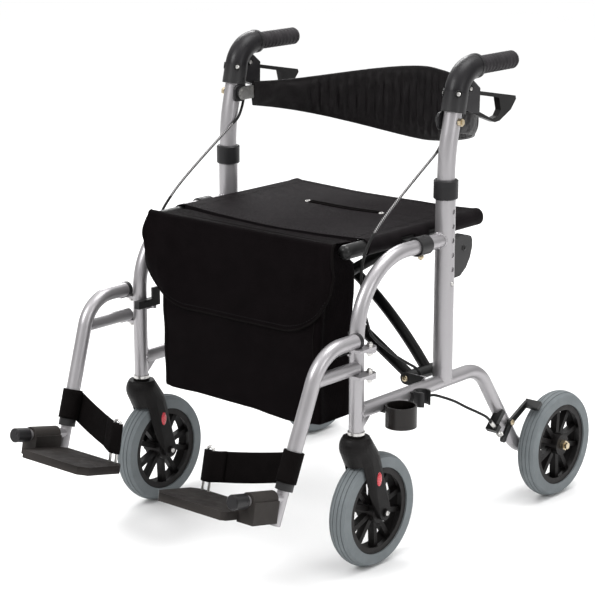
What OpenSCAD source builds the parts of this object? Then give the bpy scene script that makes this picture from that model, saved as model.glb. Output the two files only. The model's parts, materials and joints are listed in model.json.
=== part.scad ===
// Rollator transport chair: two tubular side frames joined by a folding cross brace, with
// telescoping handles, swing-away footrests, swivelling casters and braked rear wheels.
// Millimetres, +Z up. The footrests are at the front, -Y, and +X is the passenger's left.
// The origin is on the floor, in the middle of the chair. The right side mirrors the left.

/* [Side frames] */
// Distance between the centre planes of the two side frames
track_w = 506; // [480:1:560]
// Distance from the front posts to the rear axle
wheelbase = 542; // [520:1:600]
// Distance from the front posts to the foremost point of the footrests
front_reach = 312; // [300:1:330]
// Distance from a front post to its upright
upright_off = 239; // [232:1:255]
// Diameter of the front post and of both rails
rail_d = 25.4; // [23:0.2:27]
// Diameter of the outer upright tube
upright_d = 35; // [34:0.2:37]
// Diameter of the handle tube that slides in the upright
handle_d = 31; // [28:0.2:32]
// Height of the lower rail
lower_rail_z = 283; // [275:1:295]
// Height of the upper rail
upper_rail_z = 538; // [528:1:550]
// Bend radius between the upper rail and the front post
front_bend_r = 128; // [110:1:140]
// Slope of the rear leg below the horizontal
leg_slope = 55.2; // [50:0.1:60]
// Bend radius of the rear leg at its upper end
knee_r = 75; // [60:1:90]
// Bend radius of the rear leg at its lower end
heel_r = 60; // [45:1:70]
// Distance from the lower corner of the rear leg to the axle
leg_tail = 70; // [60:1:85]
// Height of the collar on the upright
collar_h = 34; // [28:1:40]
// Diameter of the collar
collar_d = 43; // [40:0.5:44]
// Height of the middle of the collar
collar_z = 626; // [615:1:635]

/* [Wheels] */
// Diameter of all four tyres
wheel_d = 200; // [190:1:210]
// Width of the tyres
tyre_w = 34; // [30:1:36]
// Diameter of the rims under the tyres
rim_d = 152; // [140:1:160]
// Width of the rims
rim_w = 28; // [24:1:29]
// Number of spokes
spoke_count = 5; // [3:1:7]
// Distance of the caster axle behind the front post
caster_trail = 44; // [36:1:50]
// Height of the front posts' lower ends above the front tyres
fork_rise = 45; // [42:1:50]
// Distance from a side frame's plane to its rear wheel's middle
wheel_off = 38; // [37:0.5:42]
// Diameter of the rear axles
rear_axle_d = 12; // [10:0.5:14]
// Diameter of the front axle bolts
front_axle_d = 8; // [8:0.5:10]
// Diameter of the caster stems
stem_d = 12; // [10:0.5:14]

/* [Handles and brakes] */
// Height of the grips' axis
grip_z = 829; // [822:1:846]
// Length of the grips
grip_len = 108; // [96:1:122]
// Diameter of the grips
grip_d = 32; // [30:0.5:36]
// Diameter of the moulded elbows
elbow_d = 42; // [40:0.5:43]
// Bend radius of the elbows
elbow_r = 52; // [50:1:56]
// Height of the elbows' lower ends
elbow_low_z = 756; // [750:1:762]
// Height at which the handle tubes start to lean back
lean_start_z = 650; // [648:1:656]
// Angle by which the handle tubes lean back
lean_angle = 13; // [9:0.5:16]
// Height of the top hole of the height setting
top_hole_z = 588; // [580:1:592]
// Distance between the holes of the height setting
hole_pitch = 25.4; // [24:0.2:26]
// Number of holes of the height setting
hole_count = 6; // [4:1:6]
// Diameter of the snap buttons
button_d = 8; // [6:0.5:10]
// Thickness of the brake levers
lever_t = 12; // [10:0.5:14]
// Thickness of the brake arms
brake_arm_t = 5; // [4:0.5:6]
// Gap between a brake shoe and its tyre when the brake is off
shoe_gap = 5; // [3:0.5:7]
// Diameter of the brake cables
cable_d = 5; // [4:0.5:6]

/* [Seat and cross brace] */
// Distance from a side frame's plane to the seat rail beside it
seat_rail_off = 42; // [41:0.5:44]
// Diameter of the seat rails
seat_rail_d = 25.4; // [23:0.2:26]
// Height of the seat rails above the upper rails
seat_lift = 9; // [6:0.5:12]
// Length of the seat rails with their round ends
seat_rail_len = 392; // [372:1:405]
// Thickness of the seat sling
seat_t = 4; // [2:0.5:6]
// Sag of the seat sling in the middle
seat_sag = 7; // [3:0.5:14]
// Height of the lower brace pivots above the lower rails
brace_lift = 8; // [6:0.5:14]
// Distance from the front posts to the first brace bar
brace_off = 203; // [202:0.5:206]
// Diameter of the brace bars
brace_bar_d = 20; // [16:0.5:21]
// Distance between the two bars of a cross arm
bar_pitch = 48; // [46:0.5:52]
// Rise of the bowed brace bars above a straight line
bar_bow = 45; // [30:1:48]
// Diameter of the brace pivot pins
brace_pin_d = 10; // [8:0.5:12]

/* [Backrest] */
// Height of the bolts that carry the backrest
back_bolt_z = 741; // [736:1:744]
// Half width of the curved pad, to the middle of its thickness
back_r = 230; // [222:1:232]
// Depth of the curve of the pad, to the middle of its thickness
back_depth = 245; // [232:1:255]
// Height of the pad in the middle
back_h_mid = 140; // [120:1:150]
// Height of the pad at its ends
back_h_end = 46; // [40:1:52]
// Drop of the pad's middle below its ends
back_drop = 26; // [15:1:32]
// Greatest thickness of the pad
back_t = 15; // [10:0.5:20]
// Number of quilted channels
back_channels = 22; // [12:1:24]

/* [Footrests] */
// Distance from a side frame's plane to its hanger's top run
hanger_off = 15; // [14:0.5:18]
// Height of the hanger's top run
hanger_z = 413; // [407:1:420]
// Distance from the post to the corner of the hanger
hanger_run = 110; // [102:1:118]
// Bend radius of the hanger
hanger_r = 70; // [55:1:78]
// Slope of the hanger's leg, from the vertical
hanger_slope = 19.5; // [16:0.5:22]
// Inward lean of the hanger
hanger_lean = 3.5; // [2:0.1:5]
// Length of the hanger's leg from its corner
hanger_len = 214; // [204:1:224]
// Diameter of the extension tube
extension_d = 20; // [18:0.2:21]
// Distance of the hanger's hinge bolts from the side frame's plane
hinge_off = 25; // [24:0.5:28]
// Diameter of the hinge bolts
hinge_bolt_d = 6; // [5:0.5:8]
// Upward tilt of the footplates to the front
plate_tilt = 12; // [6:0.5:16]
// Width of the footplates, inward from their hinge axis
plate_w = 172; // [155:1:185]
// Depth of the footplates
plate_depth = 102; // [95:1:106]
// Thickness of the footplates
plate_t = 14; // [10:0.5:16]
// Diameter of the stub that a footplate turns on
stub_d = 18; // [16:0.5:20]

/* [Bag] */
// Narrowing of the bag at the bottom
bag_taper = 30; // [10:1:60]
// Depth of the bag from front to back
bag_depth = 76; // [60:1:82]
// Height of the bag
bag_h = 312; // [260:1:320]
// Width of the flap
flap_w = 424; // [400:1:440]
// Height of the flap
flap_h = 160; // [130:1:200]
// Thickness of the flap
flap_t = 3; // [2:0.5:5]

/* [Cane holder] */
// Outer diameter of the cane cup
cup_d = 54; // [48:0.5:54]
// Bore of the cane cup
cup_bore = 48; // [40:0.5:48]
// Height of the cane cup
cup_h = 37; // [32:1:44]
// Diameter of the cane that the clip takes
cane_d = 22; // [18:0.5:24]

/* [Hidden] */
$fn = 64;
// Sides of the round ends inside a blended form
blend_fn = 32;
// Overrun of a cut past the face that it opens
over = 1;
// Radial clearance of a turning or sliding fit
run_fit = 0.06;
// Clearance between faces that move past each other
gap = 0.3;
// Length and proud height of the hair-thin ring in which a straight run and a bend meet
seam_len = 0.4;
seam_proud = 0.02;

// Plan of the side frames
hx = track_w / 2;
wheel_r = wheel_d / 2;
post_y = (front_reach - wheelbase - wheel_r) / 2;
upright_y = post_y + upright_off;
axle_y = post_y + wheelbase;

// Front tube
post_low_z = wheel_d + fork_rise;
post_len = upper_rail_z - front_bend_r - post_low_z;
upper_len = upright_off - front_bend_r;
stem_len = 42;
bearing_d = rail_d + 4;
bearing_h = 5;

// Rear leg: the corners where its straight runs would meet
leg_drop = lower_rail_z - wheel_r;
knee_y = axle_y - leg_tail - leg_drop / tan(leg_slope);
knee_cut = knee_r * tan(leg_slope / 2);
heel_cut = heel_r * tan(leg_slope / 2);
leg_end = 14;
gusset_outline = [[0, -6], [40, -8], [15, -31], [0, -31]];
gusset_t = 5;
lower_steps = [
    [knee_y - post_y - knee_cut, knee_r, leg_slope],
    [leg_drop / sin(leg_slope) - knee_cut - heel_cut, heel_r, -leg_slope],
    [leg_tail - heel_cut + leg_end, 0, 0]
];

// Tyres, rims and caster forks
bead_in = 2;
bead_t = 11;
groove_places = [-0.32, -0.12, 0.12, 0.32];
groove_w = 1.4;
groove_depth = 1;
hub_d = 40;
hub_proud = 5;
hub_sink = 2;
spoke_w = 45 / spoke_count;
spoke_t = 13;
spoke_in = 2;
spoke_spread = 75 / spoke_count;
leg_gap = 4;
leg_t = 9;
leg_end_d = 28;
tyre_gap = 5.5;
crown_step = 4;
crown_h = 18;
crown_d = 46;
neck_d = 58;
shoulder_d = 62;
shoulder_back = 17;
shoulder_drop = 46;
axle_nut_h = 4;
nut_wide = 6;
rear_nut_h = 7;
axle_nut_wide = 7;
axle_end = 6;

// Upright, height holes and handle tube
handle_bore = handle_d + 2 * run_fit;
low_hole_z = top_hole_z - hole_pitch * (hole_count - 1);
hole_d = button_d + 0.6;
button_tail = 25;
handle_low_z = low_hole_z - button_tail;
bore_floor_z = handle_low_z - 12;
lean_r = 300;
collar_round = 2;
lean_end_z = lean_start_z + lean_r * sin(lean_angle);
lean_end_y = upright_y + lean_r * (1 - cos(lean_angle));
function handle_y(z) = lean_end_y + (z - lean_end_z) * tan(lean_angle);
elbow_arc_z = grip_z - elbow_r * (1 - sin(lean_angle));
elbow_end_y = handle_y(elbow_arc_z) + elbow_r * cos(lean_angle);
elbow_run = (elbow_arc_z - elbow_low_z) / cos(lean_angle);
elbow_lip = 0.6;
handle_stop = 5;
elbow_tail = 5;
grip_y = elbow_end_y + elbow_tail;
grip_core_d = 22;
grip_ribs = 10;
rib_h = 1.2;
rib_root = 0.5;
rib_w = 8;
rib_flat = 1.5;
grip_end = 6;
button_len = 14;
button_proud = 2.5;

// Brake lever, seen from the side and measured from its pivot
lever_y = elbow_end_y - 14;
lever_z = grip_z - 39;
lever_pin_d = 6;
housing_w = 2 * lever_t;
lever_slot = lever_t + 0.8;
slot_box = [-13, -50, 40, 62];
lever_outline = [
    [-9, 7], [3, 9], [20, -4], [132, -25], [134, -31], [119, -48], [85, -64], [71, -65], [14, -45],
    [-9, -37]
];
lever_loop = [[20, -11], [82, -23], [88, -45], [80, -55], [63, -58], [20, -39]];
housing_outline = [[-40, -25], [1, -40], [16, -42], [17, 2], [-13, 25], [-30, 10]];

// Brake at the rear leg: pivot on the leg, cable end and shoe, measured in the YZ plane
brake_rise = 64;
brake_pivot_z = wheel_r + brake_rise;
brake_pivot_y = knee_y + (lower_rail_z - brake_pivot_z) / tan(leg_slope);
brake_pin_d = 8;
brake_pin_end = 4;
brake_x = hx + rail_d / 2 + 1.8 + brake_arm_t / 2;
shoe_t = 8;
shoe_w = 16;
shoe_angle = 126;
shoe_dist = wheel_r + shoe_gap + shoe_t / 2;
shoe_y = axle_y + shoe_dist * cos(shoe_angle);
shoe_z = wheel_r + shoe_dist * sin(shoe_angle);
pull_y = brake_pivot_y - 21;
pull_z = brake_pivot_z - 27;
pull_angle = 134;
pull_len = 60;
barrel_len = 36;
barrel_d = 8;
stop_in = 8;
stop_t = 10;
stop_w = 14;
stop_arm = 38;
stop_proud = 4;
shoe_over = 12;
arm_w = 12;
boss_proud = 0.6;
// Route of the left brake cable in four stretches: from the lever's pivot, past the front bend,
// past the lower rail and on to the end of the adjuster barrel
cable_from_lever = [
    [0, -15, -37], [-3, -19, -48], [-9, -27, -62], [-15, -39, -78], [-19, -53, -93], [-18, -67, -104]
];
cable_past_bend = [
    [-18, 189, 121], [-18, 135, 87], [-18, 92, 58], [-18, 66, 37], [-17, 44, 13], [-17, 33, -14],
    [-17, 32, -44], [-17, 38, -78], [-17, 48, -112], [-17, 66, -143]
];
cable_past_rail = [
    [-17, 119, 72], [-17, 158, 48], [-17, 186, 31], [-17, 198, 15], [-17, 201, 0], [-15, 204, -12],
    [-10, 213, -22], [-6, 230, -26]
];
cable_to_brake = [
    [-17, -92, 58], [-11, -61, 40], [-5, -35, 25.5], [-1, -16, 14.3], [0, -7, 7.2], [0, 0, 0]
];
cable_route = concat(
    [for (p = cable_from_lever) p + [hx, lever_y, lever_z]],
    [for (p = cable_past_bend) p + [hx, post_y, upper_rail_z]],
    [for (p = cable_past_rail) p + [hx, post_y, lower_rail_z]],
    [for (p = cable_to_brake) p + [
        brake_x, pull_y + (pull_len + gap) * cos(pull_angle), pull_z + (pull_len + gap) * sin(pull_angle)
    ]]
);
cable_sides = 8;
cable_steps = 2;

// Cross brace: lower pivots, centre and seat rails
brace_x = hx - seat_rail_off;
brace_z = lower_rail_z + brace_lift;
seat_rail_z = upper_rail_z + seat_lift;
brace_y = post_y + brace_off;
arm_stagger = bar_pitch / 2;
arm_rise = seat_rail_z - brace_z;
arm_len = sqrt(pow(2 * brace_x, 2) + pow(arm_rise, 2));
arm_angle = atan2(arm_rise, 2 * brace_x);
bow_r = (pow(arm_len / 2, 2) + pow(bar_bow, 2)) / (2 * bar_bow);
bow_angle = 2 * asin(arm_len / 2 / bow_r);
pivot_tube_d = brace_pin_d + 13;
pivot_over = brace_bar_d / 2 + 2;
ear_t = 4;
ear_h = 22;
boss_d = brace_pin_d + 20;
boss_step = 1;
seat_front_y = post_y + 8;
seat_cloth_front = 57;
seat_cloth_end = 10;
seat_half = brace_x - seat_rail_d / 2 - gap;
seat_steps = 12;
seat_edge_drop = 1;
saddle_off = 171;
saddle_len = 30;
saddle_wall = 4;
saddle_step = 2;
saddle_open = 6;

// Upright block, seen from the side and measured from the upright's axis
block_w = 24;
block_outline = [
    [8, 537], [52, 538], [60, 535], [64, 528], [64, 515], [58, 497], [47, 481], [30, 469], [8, 468]
];

// Backrest
back_y = handle_y(back_bolt_z);
back_bar_t = 4.5;
back_bar_h = 24;
back_bar_x = hx - elbow_d / 2 - elbow_lip - 2 * gap - back_bar_t / 2;
back_bolt_d = 8;
bolt_head_h = 1.5;
bolt_head_wide = 6;
bolt_spacer_wide = 8;
back_nut_h = 6;
back_nut_gap = 1;
back_bolt_end = 2;
back_centre_y = back_y + 14;
back_sweep = 86;
back_bar_len = back_centre_y - back_y + (back_depth - back_t / 2) * cos(back_sweep) - gap;
channel_steps = 3;
pad_sides = 12;
pad_crown = 0.38;
pad_height_power = 1.3;
pad_drop_power = 0.75;
pad_face_power = 0.6;
pad_edge_power = 0.7;

// Footrest: hinge, hanger, extension, stub and footplate
hinge_x = hx + hinge_off;
hinge_y = post_y + 3;
hinge_plate_w = 22;
hinge_plate_t = 5;
hinge_plate_reach = 34;
hinge_nut_wide = 5;
hinge_nut_h = 5;
bolt_end = 2;
weld = 2;
hanger_x = hx + hanger_off;
hanger_start = rail_d / 2 + 3;
hanger_turn = 90 - hanger_slope;
hanger_cut = hanger_r * tan(hanger_turn / 2);
strut_d = 22;
strut_z = 366;
strut_gap = 4;
plate_zs = [hanger_z - rail_d / 2 + weld - hinge_plate_t, strut_z - strut_d / 2 + weld - hinge_plate_t];
strut_s = (hanger_z - strut_z) / cos(hanger_slope);
sleeve_d = rail_d + 4.6;
sleeve_len = 30;
sleeve_over = 15;
extension_in = 118;
bore_run = 30;
stub_drop = 28;
stub_s = hanger_len + stub_drop;
extension_past = 46;
extension_end = stub_s + extension_past;
function leg_point(s) = [
    hanger_x - s * cos(hanger_slope) * sin(hanger_lean),
    post_y - hanger_run - s * sin(hanger_slope),
    hanger_z - s * cos(hanger_slope) * cos(hanger_lean)
];
stub_point = leg_point(stub_s);
stub_cap_d = stub_d + 7;
stub_cap_len = 30;
cap_round = 2;
stub_len = (stub_point[1] - (post_y - front_reach)) / cos(plate_tilt)
    - (stub_cap_d / 2 - cap_round) * tan(plate_tilt);
stub_cap_gap = 1;
plate_drop = 20;
plate_back = 4;
plate_start = stub_len - plate_back - plate_depth;
block_half = 17;
block_start = 24;
block_gap = 8;
block_len = stub_len - stub_cap_len - block_gap - block_start;
block_round = stub_d / 2 + 5;
block_under = 3;
plate_root = 1;
plate_corner = 14;
wire_d = 5;
wire_h = 74;
wire_in = 20;
wire_sink = 6;
wire_gap = 14;
wire_start = plate_start + 6;
strap_t = 5;
strap_h = 52;
strap_rise = 50;
strap_top_s = hanger_len - strap_rise;
strap_end_y = -3;
strap_hem = 1;

// Latch of the swing-away hanger
latch_w = 12;
latch_h = 14;
latch_len = 54;
latch_back = 12;
latch_pin_d = 6;
tab_t = 5;
tab_len = 18;
tab_rise = 20;
latch_x = hx - rail_d / 2 - 1 - latch_w / 2;
latch_y = post_y + 14;
latch_top_z = plate_zs[0] - 1;
latch_floor_z = latch_top_z - latch_h;
latch_shelf_t = 5;
shelf_back = 8;

// Bag and flap
bag_w = 2 * seat_half;
bag_y = post_y + 19;
bag_top_z = seat_rail_z + 14;
bag_round = 10;
flap_round = 105;
flap_top_z = bag_top_z + 4;

// Cane holder
cup_x = hx + rail_d / 2 + 2 + cup_d / 2;
cup_y = post_y + 68;
cup_top_z = lower_rail_z + 5;
cup_floor = 4;
cup_arm_w = 22;
cup_arm_h = 14;
cup_arm_drop = 17;
clip_wall = 4;
clip_d = cane_d + 2 * clip_wall;
clip_x = hx + rail_d / 2 + 2 + clip_d / 2;
clip_y = post_y + 141;
clip_h = 26;
clip_low_z = lower_rail_z - 15;
clip_mouth = 0.8;
clip_arm_w = 18;
clip_edge = 4;

// Shared shapes

// Arc of a round bar that leaves the origin along +Z and turns towards +Y
module bend(r, a, d) {
    translate([0, r, 0]) rotate([90, 0, -90]) rotate_extrude(angle = a) translate([r, 0]) circle(d = d);
}

// Round bar along +Z through straight runs and bends; each step is [run, bend radius, bend angle]
module bar_path(steps, d, i = 0) {
    run = steps[i][0];
    r = steps[i][1];
    a = abs(steps[i][2]);
    turn = steps[i][2] < 0 ? 180 : 0;
    last = i == len(steps) - 1;
    low = i == 0 ? 0 : seam_len / 4;
    high = last ? run : run - seam_len / 4;
    translate([0, 0, low]) cylinder(h = high - low, d = d);
    if (!last)
        translate([0, 0, run]) rotate([0, 0, turn]) {
            bend(r, a, d);
            seam(d);
            translate([0, r * (1 - cos(a)), r * sin(a)]) rotate([-a, 0, 0]) rotate([0, 0, turn]) {
                seam(d);
                bar_path(steps, d, i + 1);
            }
        }
}

module seam(d) {
    translate([0, 0, -seam_len / 2]) cylinder(d = d + 2 * seam_proud, h = seam_len);
}

// Cylinder along +X, centred
module x_cyl(d, l) {
    rotate([0, 90, 0]) cylinder(d = d, h = l, center = true);
}

// Cylinder along +Y, from the origin
module y_cyl(d, l) {
    rotate([-90, 0, 0]) cylinder(d = d, h = l);
}

// Side outline, given as [y, z] points, extruded along X and centred
module side_plate(points, t) {
    translate([-t / 2, 0, 0]) rotate([90, 0, 90]) linear_extrude(t) polygon(points);
}

// Flat bar in the YZ plane between two [y, z] points
module flat_link(p, q, w, t) {
    d = q - p;
    translate([0, p[0], p[1]]) rotate([atan2(d[1], d[0]), 0, 0])
        translate([-t / 2, 0, -w / 2]) cube([t, norm(d), w]);
}

// Places shared by several pieces

module at_lower_rail() {
    translate([hx, post_y, lower_rail_z]) rotate([-90, 0, 0]) children();
}

module in_hanger() {
    translate([hanger_x, post_y, hanger_z]) rotate([0, hanger_lean, 0]) children();
}

// Frame along the hanger's leg, +Z down the leg, at the distance s from its corner
module on_leg(s) {
    in_hanger() translate([0, -hanger_run - s * sin(hanger_slope), -s * cos(hanger_slope)])
        rotate([180 - hanger_slope, 0, 0]) children();
}

// Frame along the footplate's stub, +Z forwards along the stub, +Y up
module on_stub() {
    translate(stub_point) rotate([90 - plate_tilt, 0, 0]) children();
}

module lower_rail_bar() {
    at_lower_rail() bar_path(lower_steps, rail_d);
}

module handle_bar() {
    translate([hx, upright_y, handle_low_z])
        bar_path([
            [lean_start_z - handle_low_z, lean_r, lean_angle],
            [(elbow_arc_z - lean_end_z) / cos(lean_angle) - handle_stop, 0, 0]
        ], handle_d);
}

// Side frame

module front_tube() {
    color("silver")
    difference() {
        union() {
            translate([hx, post_y, post_low_z])
                bar_path([[post_len, front_bend_r, 90], [upper_len, 0, 0]], rail_d);
            translate([hx, post_y, post_low_z]) cylinder(d = bearing_d, h = bearing_h);
            for (z = plate_zs) hinge_lug(z - gap - hinge_plate_t);
            latch_shelf();
        }
        translate([hx, upright_y, upper_rail_z - rail_d]) cylinder(d = upright_d, h = 2 * rail_d);
        translate([hx, post_y, post_low_z - over]) cylinder(d = stem_d + 2 * run_fit, h = stem_len + over);
        for (z = plate_zs)
            translate([hinge_x, hinge_y, z - gap - hinge_plate_t - over])
                cylinder(d = hinge_bolt_d + 2 * run_fit, h = hinge_plate_t + 2 * over);
    }
}

// Welded plate on the outer side of the post, with the hole of a hinge bolt
module hinge_lug(z) {
    translate([0, 0, z]) {
        translate([hinge_x, hinge_y, 0]) cylinder(d = hinge_plate_w, h = hinge_plate_t);
        translate([hx, hinge_y - hinge_plate_w / 2, 0]) cube([hinge_off, hinge_plate_w, hinge_plate_t]);
    }
}

// Welded shelf on the inner side of the post, with the upright pin that the latch turns on
module latch_shelf() {
    translate([latch_x, latch_y, latch_floor_z - gap - latch_shelf_t]) {
        cylinder(d = latch_w, h = latch_shelf_t);
        translate([0, -latch_w / 2 - shelf_back, 0]) cube([hx - latch_x, latch_w, latch_shelf_t]);
        cylinder(d = latch_pin_d, h = latch_shelf_t + gap + latch_h);
    }
}

// The brace's ears stand at the two ends of the pivot tube that starts at tube_y
module lower_rail(tube_y) {
    tube_len = bar_pitch + 2 * pivot_over;
    color("silver")
    difference() {
        union() {
            lower_rail_bar();
            for (y = [tube_y - gap - ear_t, tube_y + tube_len + gap]) brace_ear(y);
            translate([brace_x, tube_y - gap - over, brace_z])
                y_cyl(brace_pin_d, tube_len + 2 * (gap + over));
            translate([hx, brake_pivot_y, brake_pivot_z]) rotate([0, 90, 0])
                cylinder(d = brake_pin_d, h = brake_x - hx + brake_arm_t / 2 + brake_pin_end);
            translate([hx, post_y, lower_rail_z]) side_plate(gusset_outline, gusset_t);
        }
        translate([hx, post_y, lower_rail_z - 2 * rail_d]) cylinder(d = rail_d, h = 3 * rail_d);
        translate([hx, axle_y, wheel_r]) x_cyl(rear_axle_d, 2 * rail_d);
    }
}

module brace_ear(y) {
    translate([brace_x, y, brace_z]) {
        y_cyl(ear_h, ear_t);
        translate([0, 0, -ear_h / 2]) cube([seat_rail_off, ear_t, ear_h]);
    }
}

module upright() {
    color("silver")
    difference() {
        translate([hx, upright_y, lower_rail_z]) cylinder(d = upright_d, h = collar_z - lower_rail_z);
        translate([hx, upright_y, bore_floor_z])
            cylinder(d = handle_bore, h = collar_z - bore_floor_z + over);
        translate([hx, upright_y - upright_d, lower_rail_z]) y_cyl(rail_d, 2 * upright_d);
        for (i = [0 : hole_count - 1])
            translate([hx, upright_y, top_hole_z - i * hole_pitch]) rotate([0, 90, 0])
                cylinder(d = hole_d, h = upright_d);
    }
}

module collar() {
    color("black")
    translate([hx, upright_y, collar_z - collar_h / 2])
    difference() {
        rotate_extrude() polygon([
            [0, 0], [collar_d / 2 - collar_round, 0], [collar_d / 2, collar_round],
            [collar_d / 2, collar_h - collar_round], [collar_d / 2 - collar_round, collar_h], [0, collar_h]
        ]);
        translate([0, 0, -over]) cylinder(d = upright_d, h = collar_h / 2 + over);
        cylinder(d = handle_bore, h = collar_h + over);
    }
}

module upright_block() {
    color("black")
    difference() {
        translate([hx, upright_y, 0]) side_plate(block_outline, block_w);
        translate([hx, upright_y, lower_rail_z]) cylinder(d = upright_d, h = collar_z - lower_rail_z);
    }
}

// Clip round the upper rail, with an open cradle on its inner side for the seat rail
module seat_saddle() {
    rail_r = rail_d / 2;
    seat_r = seat_rail_d / 2 + gap;
    low = min(upper_rail_z - rail_r, seat_rail_z - seat_r) - saddle_wall;
    color("black")
    translate([0, post_y + saddle_off + saddle_len / 2, 0]) rotate([90, 0, 0]) linear_extrude(saddle_len)
    difference() {
        union() {
            translate([hx, upper_rail_z]) circle(r = rail_r + saddle_wall);
            translate([brace_x, low]) square([seat_rail_off, seat_rail_z - low]);
            translate([brace_x - seat_r + saddle_step, low + saddle_step])
                square([seat_r, seat_rail_z - low - saddle_open]);
        }
        translate([hx, upper_rail_z]) circle(r = rail_r);
        translate([brace_x, seat_rail_z]) circle(r = seat_r);
        translate([brace_x - seat_r, seat_rail_z]) square([2 * seat_r, seat_rail_d]);
    }
}

module rear_axle() {
    hub_half = rim_w / 2 + hub_proud;
    inner = hx - rail_d / 2;
    outer = hx + wheel_off + hub_half + gap;
    flange_d = rear_axle_d + axle_nut_wide;
    color("gainsboro")
    translate([0, axle_y, wheel_r]) rotate([0, 90, 0]) {
        translate([0, 0, inner - axle_end])
            cylinder(d = rear_axle_d, h = outer - inner + 3 * axle_end);
        translate([0, 0, inner - rear_nut_h]) cylinder(d = flange_d, h = rear_nut_h, $fn = 6);
        translate([0, 0, hx + rail_d / 2])
            cylinder(d = flange_d, h = wheel_off - hub_half - gap - rail_d / 2);
        translate([0, 0, outer]) cylinder(d = flange_d, h = rear_nut_h, $fn = 6);
    }
}

// Wheels

module tyre(x, y) {
    color("slategray")
    translate([x, y, wheel_r]) rotate([0, 90, 0]) rotate_extrude() tyre_section();
}

// Rounded tread with four shallow grooves
module tyre_section() {
    bead = rim_d / 2;
    crown_r = wheel_r - bead + bead_in;
    difference() {
        intersection() {
            translate([bead - bead_in, 0]) circle(r = crown_r);
            translate([bead, -tyre_w / 2]) square([crown_r, tyre_w]);
        }
        for (w = groove_places)
            translate([tread_at(w * tyre_w, crown_r) - groove_depth, w * tyre_w - groove_w / 2])
                square([2 * groove_depth, groove_w]);
    }
}

function tread_at(off, crown_r) = wheel_r - crown_r + sqrt(crown_r * crown_r - off * off);

// Hub, spokes in pairs that spread towards the bead, and the channel under the tyre
module rim(x, y, bore) {
    hub_w = rim_w + 2 * hub_proud;
    spoke_len = rim_d / 2 - hub_d / 2 - bead_t / 2 + hub_sink + spoke_in;
    color("dimgray")
    translate([x, y, wheel_r]) rotate([0, 90, 0])
    difference() {
        union() {
            rotate_extrude() polygon([
                [rim_d / 2 - bead_t, -rim_w / 2], [rim_d / 2, -rim_w / 2], [rim_d / 2, rim_w / 2],
                [rim_d / 2 - bead_t, rim_w / 2], [rim_d / 2 - bead_t / 2, 0]
            ]);
            cylinder(d = hub_d, h = hub_w, center = true);
            for (i = [0 : spoke_count - 1], side = [-1, 1])
                rotate([0, 0, 90 + i * 360 / spoke_count + side * spoke_spread])
                    translate([hub_d / 2 - hub_sink, -spoke_w / 2, -spoke_t / 2])
                    cube([spoke_len, spoke_w, spoke_t]);
        }
        cylinder(d = bore + 2 * run_fit, h = hub_w + 2 * over, center = true);
    }
}

// One moulding: round crown, a neck that sweeps back over the tyre and two legs that narrow to
// the axle, with its stem and axle bolt
module caster_fork() {
    leg_in = tyre_w / 2 + leg_gap;
    leg_out = leg_in + leg_t;
    crown_z = post_low_z - crown_step;
    color("black")
    translate([hx, post_y, 0])
    difference() {
        union() {
            translate([0, 0, crown_z - crown_h]) cylinder(d = crown_d, h = crown_h);
            translate([0, 0, crown_z]) cylinder(d = bearing_d, h = crown_step - gap);
            translate([0, 0, crown_z]) cylinder(d = stem_d, h = stem_len);
            intersection() {
                union() {
                    hull() {
                        translate([0, 0, crown_z - crown_h]) sphere(d = neck_d, $fn = blend_fn);
                        fork_shoulder(crown_z);
                    }
                    hull() {
                        fork_shoulder(crown_z);
                        translate([0, caster_trail, wheel_r]) rotate([0, 90, 0])
                            cylinder(d = leg_end_d, h = 2 * leg_out, center = true, $fn = blend_fn);
                    }
                }
                translate([-leg_out, -neck_d, 0]) cube([2 * leg_out, 3 * neck_d, crown_z - over]);
            }
            for (side = [-1, 1]) translate([side * leg_out, caster_trail, wheel_r])
                x_cyl(front_axle_d + nut_wide, 2 * axle_nut_h);
        }
        translate([0, caster_trail, wheel_r]) difference() {
            x_cyl(wheel_d + 2 * tyre_gap, 2 * leg_in);
            x_cyl(front_axle_d, 2 * leg_in + 2 * over);
        }
    }
    color("gainsboro")
    translate([hx, post_y + caster_trail, wheel_r]) x_cyl(front_axle_d, 2 * (leg_in + over));
}

module fork_shoulder(crown_z) {
    translate([0, shoulder_back, crown_z - shoulder_drop]) sphere(d = shoulder_d, $fn = blend_fn);
}

// Handles and brakes

module handle_tube() {
    color("silver")
    difference() {
        handle_bar();
        translate([hx - button_len / 2, upright_y, low_hole_z]) rotate([0, 90, 0])
            cylinder(d = button_d + 2 * run_fit, h = handle_d);
        translate([hx, back_y, back_bolt_z]) x_cyl(back_bolt_d, 2 * handle_d);
    }
}

module snap_button() {
    tip = upright_d / 2 + button_proud;
    color("gainsboro")
    translate([hx + tip - button_len, upright_y, low_hole_z]) rotate([0, 90, 0]) {
        cylinder(d = button_d, h = button_len - button_d / 2);
        translate([0, 0, button_len - button_d / 2]) sphere(d = button_d);
    }
}

module elbow() {
    color("black")
    difference() {
        union() {
            translate([hx, handle_y(elbow_low_z), elbow_low_z]) rotate([-lean_angle, 0, 0]) {
                cylinder(d = elbow_d + 2 * elbow_lip, h = elbow_run + over);
                translate([0, 0, elbow_run]) bend(elbow_r, 90 - lean_angle, elbow_d);
            }
            translate([hx, elbow_end_y - over, grip_z])
                y_cyl(elbow_d + 2 * elbow_lip, elbow_tail + over);
            translate([hx, elbow_end_y, grip_z]) y_cyl(grip_core_d, elbow_tail + grip_len - grip_end);
            lever_housing();
        }
        translate([hx, handle_y(elbow_low_z), elbow_low_z]) rotate([-lean_angle, 0, 0])
            translate([0, 0, -over]) cylinder(d = handle_d, h = elbow_run - handle_stop + over);
    }
}

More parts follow.
